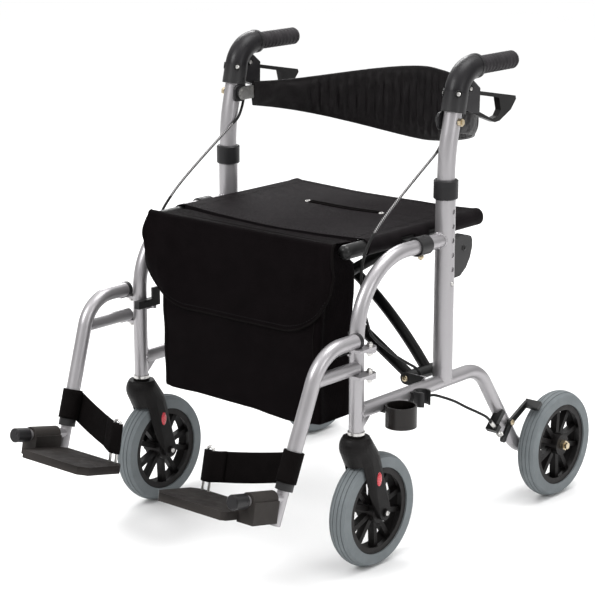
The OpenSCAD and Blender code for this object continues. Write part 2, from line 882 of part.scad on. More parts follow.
// Cheeks under the elbow that hold the lever's pin
module lever_housing() {
    translate([hx, lever_y, lever_z]) {
        difference() {
            side_plate(housing_outline, housing_w);
            translate([-lever_slot / 2, slot_box[0], slot_box[1]])
                cube([lever_slot, slot_box[2], slot_box[3]]);
        }
        x_cyl(lever_pin_d, housing_w);
    }
}

module grip() {
    r = grip_d / 2;
    core_r = r - rib_h;
    half = rib_w / 2;
    color("dimgray")
    translate([hx, grip_y, grip_z]) rotate([-90, 0, 0])
    difference() {
        union() {
            cylinder(r = core_r, h = grip_len);
            for (i = [0 : grip_ribs])
                translate([0, 0, i * (grip_len - rib_w) / grip_ribs]) rotate_extrude()
                    polygon([
                        [0, 0], [core_r - rib_root, 0], [r, half - rib_flat], [r, half + rib_flat],
                        [core_r - rib_root, rib_w], [0, rib_w]
                    ]);
        }
        translate([0, 0, -over]) cylinder(d = grip_core_d, h = grip_len - grip_end + over);
    }
}

module brake_lever() {
    color("black")
    translate([hx, lever_y, lever_z])
    difference() {
        side_plate(lever_outline, lever_t);
        side_plate(lever_loop, lever_t + 2 * over);
        x_cyl(lever_pin_d + 2 * run_fit, lever_t + 2 * over);
    }
}

// Smooth curve through the route's points
function spline(p, q, r, s, t) =
    0.5 * (2 * q + (r - p) * t + (2 * p - 5 * q + 4 * r - s) * t * t + (3 * q - p - 3 * r + s) * t * t * t);
function route_at(i, t) = spline(
    cable_route[max(i - 1, 0)], cable_route[i], cable_route[i + 1],
    cable_route[min(i + 2, len(cable_route) - 1)], t
);
cable_line = [
    for (i = [0 : len(cable_route) - 2], k = [0 : cable_steps - 1]) route_at(i, k / cable_steps),
    cable_route[len(cable_route) - 1]
];
function unit(v) = v / norm(v);
function cable_dir(i) = unit(cable_line[min(i + 1, len(cable_line) - 1)] - cable_line[max(i - 1, 0)]);
function cable_ring(i) =
    let (n = unit(cross(cable_dir(i), [1, 0, 0])), b = cross(cable_dir(i), n))
    [for (k = [0 : cable_sides - 1])
        cable_line[i] + cable_d / 2 * (n * cos(k * 360 / cable_sides) + b * sin(k * 360 / cable_sides))];

module brake_cable() {
    last = len(cable_line) - 1;
    points = [for (i = [0 : last]) each cable_ring(i)];
    walls = [for (i = [0 : last - 1], k = [0 : cable_sides - 1])
        let (a = i * cable_sides + k, b = i * cable_sides + (k + 1) % cable_sides)
        each [[a, a + cable_sides, b], [b, a + cable_sides, b + cable_sides]]];
    start = [for (k = [0 : cable_sides - 1]) k];
    end = [for (k = [cable_sides - 1 : -1 : 0]) last * cable_sides + k];
    color("black") polyhedron(points, concat([start], walls, [end]));
}

// Cable stop on the front of the rear leg, with the adjuster barrel that aims at the brake arm
module brake_bracket() {
    stop_at = pull_len - barrel_len + stop_in;
    color("black")
    difference() {
        union() {
            translate([hx, pull_y, pull_z]) rotate([pull_angle, 0, 0]) {
                translate([0, stop_at, -stop_w / 2]) cube([brake_x - hx + stop_w / 2, stop_t, stop_w]);
                translate([0, stop_at, -stop_arm]) cube([rail_d / 2 + stop_proud, stop_t, stop_arm]);
            }
            translate([brake_x, pull_y, pull_z]) rotate([pull_angle, 0, 0])
                translate([0, pull_len - barrel_len, 0]) y_cyl(barrel_d, barrel_len);
        }
        translate([hx, knee_y, lower_rail_z]) rotate([-leg_slope, 0, 0])
            y_cyl(rail_d, leg_drop / sin(leg_slope));
    }
}

// Flat arm on the brake pin, from the cable end to the shoe across the tread
module brake_arm() {
    shoe_len = wheel_off - brake_x + hx + shoe_over;
    joints = [[pull_y, pull_z], [brake_pivot_y, brake_pivot_z], [shoe_y, shoe_z]];
    color("black")
    difference() {
        union() {
            translate([brake_x, 0, 0]) {
                for (i = [0, 1]) flat_link(joints[i], joints[i + 1], arm_w, brake_arm_t);
                for (p = [joints[0], joints[1]]) translate([0, p[0], p[1]])
                    x_cyl(arm_w + 2 * boss_proud, brake_arm_t + 2 * boss_proud);
            }
            translate([brake_x - brake_arm_t / 2 - boss_proud, shoe_y, shoe_z]) rotate([shoe_angle, 0, 0])
                translate([0, -shoe_t / 2, -shoe_w / 2]) cube([shoe_len, shoe_t, shoe_w]);
        }
        translate([brake_x, brake_pivot_y, brake_pivot_z])
            x_cyl(brake_pin_d + 2 * run_fit, 3 * brake_arm_t);
    }
}

// Cross brace and seat

// Arm from the left lower pivot to the right seat rail, with one straight and one bowed bar
module arm_body(y) {
    translate([brace_x, y - pivot_over, brace_z]) y_cyl(pivot_tube_d, bar_pitch + 2 * pivot_over);
    translate([brace_x, y, brace_z]) rotate([0, -90 + arm_angle, 0]) cylinder(d = brace_bar_d, h = arm_len);
    translate([brace_x, y + bar_pitch, brace_z]) rotate([0, -90 + arm_angle, 0])
        rotate([0, bow_angle / 2, 0]) rotate([0, 0, 90]) bend(bow_r, bow_angle, brace_bar_d);
    translate([-brace_x, seat_front_y + seat_rail_d / 2, seat_rail_z]) {
        y_cyl(seat_rail_d, seat_rail_len - seat_rail_d);
        sphere(d = seat_rail_d);
        translate([0, seat_rail_len - seat_rail_d, 0]) sphere(d = seat_rail_d);
    }
}

module cross_arm_a() {
    color("black")
    difference() {
        union() {
            arm_body(brace_y);
            translate([0, brace_y - pivot_over, (brace_z + seat_rail_z) / 2])
                y_cyl(boss_d, pivot_over + arm_stagger / 2 - gap / 2);
            translate([0, brace_y, (brace_z + seat_rail_z) / 2])
                y_cyl(brace_pin_d, arm_stagger + pivot_over);
        }
        translate([brace_x, brace_y - bar_pitch, brace_z]) y_cyl(brace_pin_d + 2 * run_fit, 3 * bar_pitch);
    }
}

module cross_arm_b() {
    y = brace_y + arm_stagger;
    color("black")
    mirror([1, 0, 0])
    difference() {
        union() {
            arm_body(y);
            translate([0, y - arm_stagger / 2 + gap / 2, (brace_z + seat_rail_z) / 2])
                y_cyl(boss_d, pivot_over + arm_stagger / 2 - gap / 2 - boss_step);
        }
        translate([0, y - bar_pitch, (brace_z + seat_rail_z) / 2])
            y_cyl(brace_pin_d + 2 * run_fit, 2 * bar_pitch - over - brace_bar_d / 2 - boss_step);
        translate([brace_x, y - bar_pitch, brace_z]) y_cyl(brace_pin_d + 2 * run_fit, 3 * bar_pitch);
    }
}

module seat() {
    edge_z = seat_rail_z + seat_rail_d / 2 - seat_edge_drop;
    top = [for (i = [0 : seat_steps])
        let (u = -1 + 2 * i / seat_steps) [u * seat_half, edge_z - seat_sag * (1 - u * u)]];
    low = [for (i = [seat_steps : -1 : 0]) top[i] - [0, seat_t]];
    color("black")
    translate([0, seat_front_y + seat_rail_len - seat_cloth_end, 0]) rotate([90, 0, 0])
        linear_extrude(seat_rail_len - seat_cloth_end - seat_cloth_front) polygon(concat(top, low));
}

// Backrest

// Padded band: quilted channels along the arc, taller and lower in the middle than at its ends
function pad_height(a) = back_h_end + (back_h_mid - back_h_end) * (1 - pow(abs(sin(a)), pad_height_power));
function pad_z(a) = back_bolt_z - back_drop * pow(cos(a), pad_drop_power);
function pad_swell(a) =
    1 - pad_crown + pad_crown * abs(sin((a + back_sweep) * 90 * back_channels / back_sweep));
function pad_ring(a) = [for (k = [0 : pad_sides - 1])
    let (
        t = k * 360 / pad_sides,
        out = back_t / 2 * pad_swell(a) * sign(cos(t)) * pow(abs(cos(t)), pad_face_power),
        z = pad_z(a) + pad_height(a) / 2 * sign(sin(t)) * pow(abs(sin(t)), pad_edge_power)
    )
    [(back_r + out) * sin(a), back_centre_y + (back_depth + out) * cos(a), z]];

module backrest_pad() {
    count = back_channels * channel_steps;
    points = [for (i = [0 : count]) each pad_ring(-back_sweep + 2 * back_sweep * i / count)];
    walls = [for (i = [0 : count - 1], k = [0 : pad_sides - 1])
        let (a = i * pad_sides + k, b = i * pad_sides + (k + 1) % pad_sides)
        each [[a, a + pad_sides, b], [b, a + pad_sides, b + pad_sides]]];
    start = [for (k = [0 : pad_sides - 1]) k];
    end = [for (k = [pad_sides - 1 : -1 : 0]) count * pad_sides + k];
    color("black") polyhedron(points, concat([start], walls, [end]));
}

// Flat bar beside the handle tube, turning on a bolt through it
module back_bar() {
    nut_x = hx - back_bar_x + handle_d / 2 + back_nut_gap;
    head_d = back_bolt_d + bolt_head_wide;
    color("black")
    translate([back_bar_x, back_y, back_bolt_z]) {
        x_cyl(back_bar_h, back_bar_t);
        translate([-back_bar_t / 2, 0, -back_bar_h / 2]) cube([back_bar_t, back_bar_len, back_bar_h]);
        rotate([0, 90, 0]) cylinder(d = back_bolt_d - 2 * run_fit, h = nut_x + back_nut_h + back_bolt_end);
        rotate([0, 90, 0])
            cylinder(d = back_bolt_d + bolt_spacer_wide, h = hx - handle_d / 2 - gap - back_bar_x);
        translate([-back_bar_t / 2 - bolt_head_h, 0, 0]) rotate([0, 90, 0])
            cylinder(d = head_d, h = back_bar_t);
        translate([nut_x, 0, 0]) rotate([0, 90, 0]) cylinder(d = head_d, h = back_nut_h, $fn = 6);
    }
}

// Footrests

module hanger() {
    color("silver")
    difference() {
        union() {
            in_hanger() translate([0, -hanger_start, 0]) rotate([90, 0, 0]) rotate([0, 0, 180])
                bar_path([
                    [hanger_run - hanger_cut - hanger_start, hanger_r, hanger_turn],
                    [hanger_len - hanger_cut, 0, 0]
                ], rail_d);
            on_leg(hanger_len - sleeve_over) cylinder(d = sleeve_d, h = sleeve_len);
            hanger_strut();
            for (z = plate_zs) hinge_plate(z);
        }
        on_leg(extension_in - bore_run) cylinder(d = extension_d + 2 * run_fit, h = hanger_len);
    }
}

// Cross tube from the lower hinge plate to the hanger's leg
module hanger_strut() {
    low = leg_point(strut_s);
    translate([low[0], low[1], strut_z]) y_cyl(strut_d, post_y - rail_d / 2 - strut_gap - low[1]);
}

// Plate under a tube of the hanger, with its hinge bolt and nuts
module hinge_plate(z) {
    reach = hinge_y - post_y + hinge_plate_reach;
    below = hinge_plate_t + 2 * gap + hinge_nut_h;
    nut_d = hinge_bolt_d + hinge_nut_wide;
    translate([hinge_x, hinge_y, z]) {
        cylinder(d = hinge_plate_w, h = hinge_plate_t);
        translate([-hinge_plate_w / 2, -reach, 0]) cube([hinge_plate_w, reach, hinge_plate_t]);
        translate([0, 0, -below - bolt_end])
            cylinder(d = hinge_bolt_d, h = below + hinge_plate_t + hinge_nut_h + 2 * bolt_end);
        translate([0, 0, hinge_plate_t]) cylinder(d = nut_d, h = hinge_nut_h, $fn = 6);
        translate([0, 0, -below]) cylinder(d = nut_d, h = hinge_nut_h, $fn = 6);
    }
}

module extension() {
    color("silver") {
        on_leg(extension_in) cylinder(d = extension_d, h = extension_end - extension_in);
        on_stub() {
            cylinder(d = stub_d, h = stub_len - cap_round);
            translate([0, 0, stub_len - stub_cap_len]) rotate_extrude() polygon([
                [0, 0], [stub_cap_d / 2, 0], [stub_cap_d / 2, stub_cap_len - cap_round],
                [stub_cap_d / 2 - cap_round, stub_cap_len], [0, stub_cap_len]
            ]);
        }
    }
}

// Moulded plate with the hinge block round its stub and the wire post of the heel strap
module footplate() {
    block_h = plate_drop + plate_t + block_under;
    color("black")
    on_stub()
    difference() {
        union() {
            translate([0, 0, block_start]) {
                cylinder(r = block_round, h = block_len);
                translate([-block_half, -block_h, 0]) cube([2 * block_half, block_h, block_len]);
            }
            translate([0, -plate_drop, 0]) rotate([90, 0, 0]) linear_extrude(plate_t) plate_outline();
        }
        translate([0, 0, -over]) cylinder(d = stub_d + 2 * run_fit, h = stub_len);
        translate([0, 0, block_start + block_len + gap])
            cylinder(d = stub_cap_d + 2 * stub_cap_gap, h = stub_len);
    }
    color("gainsboro")
    on_stub() wire_post();
}

// Plate seen from above, x inwards negative and y forwards, with cut corners
module plate_outline() {
    c = plate_corner;
    root = -block_half + plate_root;
    polygon([
        [root, plate_start + c], [root - c, plate_start], [-plate_w + c, plate_start],
        [-plate_w, plate_start + c], [-plate_w, plate_start + plate_depth - c],
        [-plate_w + c, plate_start + plate_depth], [root - c / 2, plate_start + plate_depth],
        [root, plate_start + plate_depth - c / 2]
    ]);
}

// Wire bent to a narrow arch that stands on the plate's inner back corner
module wire_post() {
    arch_r = wire_gap / 2;
    rise = wire_h + wire_sink - arch_r;
    translate([-plate_w + wire_in, -plate_drop - wire_sink, wire_start]) {
        for (x = [0, wire_gap]) translate([x, 0, 0]) rotate([-90, 0, 0])
            cylinder(d = wire_d, h = rise);
        translate([arch_r, rise, 0]) rotate_extrude(angle = 180)
            translate([arch_r, 0]) circle(d = wire_d);
    }
}

// Webbing band from the hanger's leg to the wire post
module heel_strap() {
    leg_r = sleeve_d / 2 + gap;
    wire_x = -plate_w + wire_in + wire_gap + wire_d / 2 + gap;
    color("black") {
        on_leg(strap_top_s) difference() {
            cylinder(r = leg_r + strap_t / 2, h = strap_h);
            translate([0, 0, -over]) cylinder(r = leg_r, h = strap_h + 2 * over);
        }
        hull() {
            on_leg(strap_top_s) translate([-leg_r - strap_t, -strap_t / 2, strap_hem])
                cube([strap_t - gap, strap_t, strap_h - 2 * strap_hem]);
            on_stub() translate([wire_x, strap_end_y, wire_start - strap_t / 2])
                cube([strap_t, strap_h - 2 * strap_hem, strap_t]);
        }
    }
}

// Release lever that lies along the inner side of the post, with an upright thumb tab
module latch() {
    left = latch_x - latch_w / 2;
    color("black")
    difference() {
        union() {
            translate([left, latch_y + latch_back - latch_len, latch_floor_z])
                cube([latch_w, latch_len, latch_h]);
            translate([left, latch_y + latch_back - tab_len, latch_floor_z])
                cube([tab_t, tab_len, latch_h + tab_rise]);
        }
        translate([latch_x, latch_y, latch_floor_z - over])
            cylinder(d = latch_pin_d + 2 * run_fit, h = latch_h + 2 * over);
    }
}

// Bag

module bag() {
    color("black")
    hull() for (side = [-1, 1], y = [-1, 1]) {
        bag_corner(side * bag_w / 2, y, bag_top_z - bag_round);
        bag_corner(side * (bag_w - bag_taper) / 2, y, bag_top_z - bag_h + bag_round);
    }
}

module bag_corner(x, side_y, z) {
    translate([x - sign(x) * bag_round, bag_y + side_y * (bag_depth / 2 - bag_round), z])
        sphere(r = bag_round, $fn = blend_fn / 2);
}

module bag_flap() {
    half = flap_w / 2;
    color("black")
    translate([0, bag_y - bag_depth / 2 - gap, flap_top_z - flap_h]) rotate([90, 0, 0])
    linear_extrude(flap_t)
    union() {
        translate([-half, flap_round]) square([flap_w, flap_h - flap_round]);
        translate([-half + flap_round, 0]) square([flap_w - 2 * flap_round, flap_round + over]);
        for (side = [-1, 1]) intersection() {
            translate([side * (half - flap_round), flap_round]) circle(r = flap_round);
            translate([side * half / 2, flap_round / 2]) square([half, flap_round], center = true);
        }
    }
}

// Cane holder

module cane_cup() {
    color("black")
    difference() {
        union() {
            translate([cup_x, cup_y, cup_top_z - cup_h]) cylinder(d = cup_d, h = cup_h);
            translate([hx, cup_y - cup_arm_w / 2, cup_top_z - cup_arm_drop])
                cube([cup_x - hx, cup_arm_w, cup_arm_h]);
        }
        translate([cup_x, cup_y, cup_top_z - cup_h + cup_floor]) cylinder(d = cup_bore, h = cup_h);
        at_lower_rail() cylinder(d = rail_d, h = upright_off);
    }
}

module cane_clip() {
    mouth = cane_d * clip_mouth;
    color("black")
    difference() {
        union() {
            translate([clip_x, clip_y, clip_low_z]) cylinder(d = clip_d, h = clip_h);
            translate([hx, clip_y - clip_arm_w / 2, clip_low_z + clip_edge])
                cube([clip_x - hx, clip_arm_w, clip_h - 2 * clip_edge]);
        }
        translate([clip_x, clip_y, clip_low_z - over]) cylinder(d = cane_d, h = clip_h + 2 * over);
        translate([clip_x, clip_y - mouth / 2, clip_low_z - over]) cube([clip_d, mouth, clip_h + 2 * over]);
        at_lower_rail() cylinder(d = rail_d, h = upright_off);
    }
}

left_tube_y = brace_y - pivot_over;
right_tube_y = left_tube_y + arm_stagger;

front_tube();  // left_front_tube
lower_rail(left_tube_y);  // left_lower_rail
upright();  // left_upright
collar();  // left_collar
upright_block();  // left_upright_block
seat_saddle();  // left_seat_saddle
handle_tube();  // left_handle_tube
snap_button();  // left_snap_button
elbow();  // left_elbow
grip();  // left_grip
brake_lever();  // left_brake_lever
brake_cable();  // left_brake_cable
brake_bracket();  // left_brake_bracket
brake_arm();  // left_brake_arm
rear_axle();  // left_rear_axle
rim(hx + wheel_off, axle_y, rear_axle_d);  // left_rear_rim
tyre(hx + wheel_off, axle_y);  // left_rear_tyre
caster_fork();  // left_caster_fork
rim(hx, post_y + caster_trail, front_axle_d);  // left_front_rim
tyre(hx, post_y + caster_trail);  // left_front_tyre
hanger();  // left_hanger
extension();  // left_extension
footplate();  // left_footplate
heel_strap();  // left_heel_strap
latch();  // left_latch
back_bar();  // left_back_bar
mirror([1, 0, 0]) front_tube();  // right_front_tube
mirror([1, 0, 0]) lower_rail(right_tube_y);  // right_lower_rail
mirror([1, 0, 0]) upright();  // right_upright
mirror([1, 0, 0]) collar();  // right_collar
mirror([1, 0, 0]) upright_block();  // right_upright_block
mirror([1, 0, 0]) seat_saddle();  // right_seat_saddle
mirror([1, 0, 0]) handle_tube();  // right_handle_tube
mirror([1, 0, 0]) snap_button();  // right_snap_button
mirror([1, 0, 0]) elbow();  // right_elbow
mirror([1, 0, 0]) grip();  // right_grip
mirror([1, 0, 0]) brake_lever();  // right_brake_lever
mirror([1, 0, 0]) brake_cable();  // right_brake_cable
mirror([1, 0, 0]) brake_bracket();  // right_brake_bracket
mirror([1, 0, 0]) brake_arm();  // right_brake_arm
mirror([1, 0, 0]) rear_axle();  // right_rear_axle
mirror([1, 0, 0]) rim(hx + wheel_off, axle_y, rear_axle_d);  // right_rear_rim
mirror([1, 0, 0]) tyre(hx + wheel_off, axle_y);  // right_rear_tyre
mirror([1, 0, 0]) caster_fork();  // right_caster_fork
mirror([1, 0, 0]) rim(hx, post_y + caster_trail, front_axle_d);  // right_front_rim
mirror([1, 0, 0]) tyre(hx, post_y + caster_trail);  // right_front_tyre
mirror([1, 0, 0]) hanger();  // right_hanger
mirror([1, 0, 0]) extension();  // right_extension
mirror([1, 0, 0]) footplate();  // right_footplate
mirror([1, 0, 0]) heel_strap();  // right_heel_strap
mirror([1, 0, 0]) latch();  // right_latch
mirror([1, 0, 0]) back_bar();  // right_back_bar
cross_arm_a();
cross_arm_b();
seat();
bag();
bag_flap();
backrest_pad();
cane_cup();
cane_clip();
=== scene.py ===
"""Looks of a rollator transport chair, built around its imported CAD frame, in metres."""

import json
import math

import bmesh
import bpy
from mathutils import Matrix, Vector, noise
from mathutils.bvhtree import BVHTree


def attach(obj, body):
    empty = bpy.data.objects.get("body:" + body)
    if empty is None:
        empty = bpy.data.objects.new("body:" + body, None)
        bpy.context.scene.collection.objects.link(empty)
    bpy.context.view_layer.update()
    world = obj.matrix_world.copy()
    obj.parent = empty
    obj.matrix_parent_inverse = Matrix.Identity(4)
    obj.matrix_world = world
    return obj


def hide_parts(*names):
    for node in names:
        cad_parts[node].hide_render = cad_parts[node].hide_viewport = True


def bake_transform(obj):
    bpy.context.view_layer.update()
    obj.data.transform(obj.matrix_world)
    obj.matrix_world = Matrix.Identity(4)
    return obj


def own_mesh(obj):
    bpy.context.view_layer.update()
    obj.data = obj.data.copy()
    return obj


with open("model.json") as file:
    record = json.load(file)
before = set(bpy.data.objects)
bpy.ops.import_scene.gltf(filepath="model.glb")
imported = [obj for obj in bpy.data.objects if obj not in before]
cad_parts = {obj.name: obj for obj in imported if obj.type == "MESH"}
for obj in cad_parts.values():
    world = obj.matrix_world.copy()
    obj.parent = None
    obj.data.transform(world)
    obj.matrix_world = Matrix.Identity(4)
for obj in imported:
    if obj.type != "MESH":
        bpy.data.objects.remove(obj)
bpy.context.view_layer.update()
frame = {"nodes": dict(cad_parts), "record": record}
NODES = frame["nodes"]
SIDES = {"left": 1, "right": -1}

# Places that the pieces share, on the left side (+X)
HALF_TRACK = 0.253
POST_Y = -0.165
POST_LOW_Z = 0.245
RAIL_R = 0.0127
UPPER_RAIL_Z = 0.538
LOWER_RAIL_Z = 0.283
UPRIGHT_Y = 0.074
UPRIGHT_R = 0.0175
HANDLE_R = 0.0155
BACK_BAR_Y = 0.0871
BACK_BOLT_Z = 0.741
BACK_BOLT = Vector((HALF_TRACK, BACK_BAR_Y, BACK_BOLT_Z))
CASTER_AXLE = Vector((HALF_TRACK, -0.121, 0.100))
ELBOW_R = 0.0216
SEAT_RAIL_X = 0.211
SEAT_RAIL_Z = 0.547
SEAT_FRONT_Y = -0.100
SEAT_REAR_Y = 0.225
SADDLE_Y = 0.006
HANGER_X = 0.268
HANGER_Z = 0.413
HANGER_CORNER_Y = -0.275
HANGER_SLOPE = math.radians(19.5)
HANGER_LEAN = math.radians(3.5)
HINGE_X = 0.278
HINGE_Y = -0.162
SLEEVE_R = 0.015
STUB_POINT = Vector((0.2541, -0.3558, 0.1853))
PLATE_TILT = math.radians(12)
STUB_UP = Vector((0, math.sin(PLATE_TILT), math.cos(PLATE_TILT)))
STUB_DIR = Vector((0, -math.cos(PLATE_TILT), math.sin(PLATE_TILT)))
BRAKE_PIVOT = Vector((0.270, 0.2625, 0.164))
BRACE_Z = 0.291
EAR_FRONT_Y = {"left": 0.0217, "right": 0.0457}
EAR_EDGE_X = 0.2385


# Meshes


class Shape:
    """Vertices and faces of one piece, gathered from tubes, lofts and revolves."""

    def __init__(self):
        self.verts = []
        self.faces = []

    def add(self, verts, faces):
        base = len(self.verts)
        self.verts.extend(Vector(v) for v in verts)
        self.faces.extend(tuple(base + i for i in face) for face in faces)

    def loft(self, rings, closed=False, ring_closed=True, skip=None):
        """Faces between rings of points; open strips have ring_closed off, and skip leaves faces out."""
        count, size = len(rings), len(rings[0])
        faces = []
        for i in range(count if closed else count - 1):
            for j in range(size if ring_closed else size - 1):
                if skip and skip(i, j):
                    continue
                i2, j2 = (i + 1) % count, (j + 1) % size
                faces.append((i * size + j, i * size + j2, i2 * size + j2, i2 * size + j))
        if ring_closed and not closed:
            faces.append(tuple(range(size)))
            faces.append(tuple((count - 1) * size + j for j in range(size)))
        self.add([p for ring in rings for p in ring], faces)

    def tube(self, path, radius, sides=10, closed=False):
        rings = []
        for point, normal, binormal in path_frames(path, closed):
            rings.append([
                point + normal * (radius * math.sin(a)) + binormal * (radius * math.cos(a))
                for a in circle_angles(sides)
            ])
        self.loft(rings, closed=closed)

    def lathe(self, profile, centre, axis, sides=32, closed=False):
        turn = Vector((0, 0, 1)).rotation_difference(Vector(axis).normalized())
        rings = []
        for radius, height in profile:
            rings.append([
                Vector(centre)
                + turn @ Vector((radius * math.cos(a), radius * math.sin(a), height))
                for a in circle_angles(sides)
            ])
        self.loft(rings, closed=closed)

    def build(self, name, material, slot=None, side=1, smooth_angle=40):
        mesh = bpy.data.meshes.new(name)
        mesh.from_pydata([mirrored(v, side) for v in self.verts], [], self.faces)
        turn_outward(mesh)
        mesh.polygons.foreach_set("use_smooth", [True] * len(mesh.polygons))
        mesh.set_sharp_from_angle(angle=math.radians(smooth_angle))
        mesh.materials.append(material)
        obj = bpy.data.objects.new(name, mesh)
        bpy.context.scene.collection.objects.link(obj)
        return obj


def mirrored(point, sign):
    """A place on the left side as it is, or its mirror image on the right side."""
    return (point[0] * sign, point[1], point[2])


def turn_outward(mesh):
    work = bmesh.new()
    work.from_mesh(mesh)
    loose = [v for v in work.verts if not v.link_faces]
    bmesh.ops.delete(work, geom=loose, context="VERTS")
    bmesh.ops.recalc_face_normals(work, faces=work.faces)
    work.to_mesh(mesh)
    work.free()
    mesh.update()


def circle_angles(sides):
    return [2 * math.pi * k / sides for k in range(sides)]


def path_frames(path, closed):
    """Each point of a path with two directions square to it, turned as little as possible."""
    points = [Vector(p) for p in path]
    last = len(points) - 1
    frames = []
    normal = None
    for i, point in enumerate(points):
        ahead = points[(i + 1) % len(points)] if closed else points[min(i + 1, last)]
        behind = points[i - 1] if closed else points[max(i - 1, 0)]
        tangent = (ahead - behind).normalized()
        if normal is None:
            normal = tangent.orthogonal()
        normal = (normal - tangent * normal.dot(tangent)).normalized()
        frames.append((point, normal, tangent.cross(normal)))
    return frames


def spline(points, count):
    """Smooth curve through the points, with the given count of steps between two of them."""
    last = len(points) - 1
    curve = []
    for i in range(last):
        p, q, r, s = (points[min(max(k, 0), last)] for k in range(i - 1, i + 3))
        for t in steps(0.0, 1.0, count)[:-1]:
            curve.append(0.5 * (
                2 * q
                + (r - p) * t
                + (2 * p - 5 * q + 4 * r - s) * t * t
                + (3 * q - p - 3 * r + s) * t ** 3
            ))
    curve.append(points[last])
    return curve


def steps(low, high, count):
    return [low + (high - low) * k / count for k in range(count + 1)]


def solidify(obj, thickness, offset):
    """Gives a sheet its thickness and keeps the result as the piece's own mesh."""
    modifier = obj.modifiers.new("thickness", "SOLIDIFY")
    modifier.thickness = thickness
    modifier.offset = offset
    keep_result(obj)


def keep_result(obj):
    bpy.context.view_layer.update()
    evaluated = obj.evaluated_get(bpy.context.evaluated_depsgraph_get())
    mesh = bpy.data.meshes.new_from_object(evaluated)
    obj.modifiers.clear()
    obj.data = mesh


CLOTH_FRAMES = 20


def settle(obj, pinned, pressure, gravity, slack, cap):
    """Lets a sewn piece swell and hang in a short cloth simulation; no point moves past the cap."""
    before = [v.co.copy() for v in obj.data.vertices]
    obj.vertex_groups.new(name="pins").add(pinned, 1.0, "REPLACE")
    cloth = obj.modifiers.new("cloth", "CLOTH")
    cloth.settings.quality = 5
    cloth.settings.vertex_group_mass = "pins"
    cloth.settings.use_pressure = pressure > 0
    cloth.settings.uniform_pressure_force = pressure
    cloth.settings.shrink_min = -slack
    cloth.settings.effector_weights.gravity = gravity
    cloth.collision_settings.use_collision = False
    cloth.point_cache.frame_end = CLOTH_FRAMES
    for number in range(1, CLOTH_FRAMES + 1):
        bpy.context.scene.frame_set(number)
    keep_result(obj)
    obj.vertex_groups.clear()
    for vertex, old in zip(obj.data.vertices, before):
        move = vertex.co - old
        if move.length > cap:
            vertex.co = old + move * (cap / move.length)
    obj.data.update()
    bpy.context.scene.frame_set(1)


def ripple(x, y, z=0.0):
    return noise.noise(Vector((x, y, z)))


def smooth_step(low, high, x):
    t = min(max((x - low) / (high - low), 0.0), 1.0)
    return t * t * (3 - 2 * t)


# Materials


# Length of one band of the wave texture at a scale of 1
WAVE_LENGTH = 0.314
# Part of a noise's range that a finish uses
NOISE_LOW, NOISE_HIGH = 0.3, 0.7
# Pointiness from which an edge counts as worn, to where it is worn most
WORN_LOW, WORN_HIGH = 0.53, 0.62


class Surface:
    """A material's node tree, with the few steps that the finishes share."""

    def __init__(self, name, colour, roughness, metallic=0.0, specular=0.5):
        self.material = bpy.data.materials.new(name)
        self.material.use_nodes = True
        self.tree = self.material.node_tree
        self.bsdf = self.tree.nodes["Principled BSDF"]
        self.set("Base Color", (*colour, 1.0))
        self.set("Roughness", roughness)
        self.set("Metallic", metallic)
        self.set("Specular IOR Level", specular)
        self.place = self.node("TexCoord").outputs["Object"]

    def set(self, socket, value):
        self.feed(self.bsdf.inputs[socket], value)

    def feed(self, socket, value):
        """Links a socket to another one, or sets it where the value is a constant."""
        if isinstance(value, bpy.types.NodeSocket):
            self.tree.links.new(value, socket)
        else:
            socket.default_value = value

    def node(self, kind, **inputs):
        node = self.tree.nodes.new("ShaderNode" + kind)
        for name, value in inputs.items():
            self.feed(node.inputs[name.replace("_", " ")], value)
        return node

    def noise(self, scale, detail=3.0, stretch=None):
        place = self.place
        if stretch:
            place = self.node("Mapping", Scale=stretch, Vector=place).outputs["Vector"]
        return self.node("TexNoise", Scale=scale, Detail=detail, Vector=place).outputs["Fac"]

    def cells(self, scale):
        return self.node("TexVoronoi", Scale=scale, Vector=self.place).outputs["Distance"]

    def wave(self, scale, direction):
        node = self.node("TexWave", Scale=scale, Vector=self.place)
        node.bands_direction = direction
        return node.outputs["Fac"]

    def maths(self, operation, a, b):
        node = self.node("Math")
        node.operation = operation
        for socket, value in zip(node.inputs, (a, b)):
            self.feed(socket, value)
        return node.outputs["Value"]

    def mixed(self, first, first_share, second, second_share):
        """Sum of two patterns, each with its share."""
        first = self.maths("MULTIPLY", first, first_share)
        second = self.maths("MULTIPLY", second, second_share)
        return self.maths("ADD", first, second)

    def ramp(self, factor, low, dark, high, light):
        node = self.node("ValToRGB", Fac=factor)
        for stop, place, colour in zip(node.color_ramp.elements, (low, high), (dark, light)):
            stop.position = place
            stop.color = (*colour, 1.0)
        return node.outputs["Color"]

    def tint(self, factor, dark, light):
        colour = self.ramp(factor, NOISE_LOW, dark, NOISE_HIGH, light)
        self.set("Base Color", colour)
        return colour

    def worn_edges(self, colour, wear):
        """Lightens sharp outer edges, as handling does."""
        edge = self.node("NewGeometry").outputs["Pointiness"]
        worn = self.ramp(edge, WORN_LOW, (0.0, 0.0, 0.0), WORN_HIGH, (1.0, 1.0, 1.0))
        mix = self.node("Mix")
        mix.data_type = "RGBA"
        self.feed(mix.inputs["Factor"], self.maths("MULTIPLY", worn, 0.5))
        self.feed(mix.inputs["A"], colour)
        self.feed(mix.inputs["B"], (*wear, 1.0))
        self.set("Base Color", mix.outputs["Result"])

    def rough(self, factor, low, high):
        node = self.node(
            "MapRange", Value=factor,
            From_Min=NOISE_LOW, From_Max=NOISE_HIGH, To_Min=low, To_Max=high)
        self.set("Roughness", node.outputs["Result"])

    def bump(self, height, strength, distance):
        node = self.node("Bump", Strength=strength, Distance=distance, Height=height)
        self.set("Normal", node.outputs["Normal"])


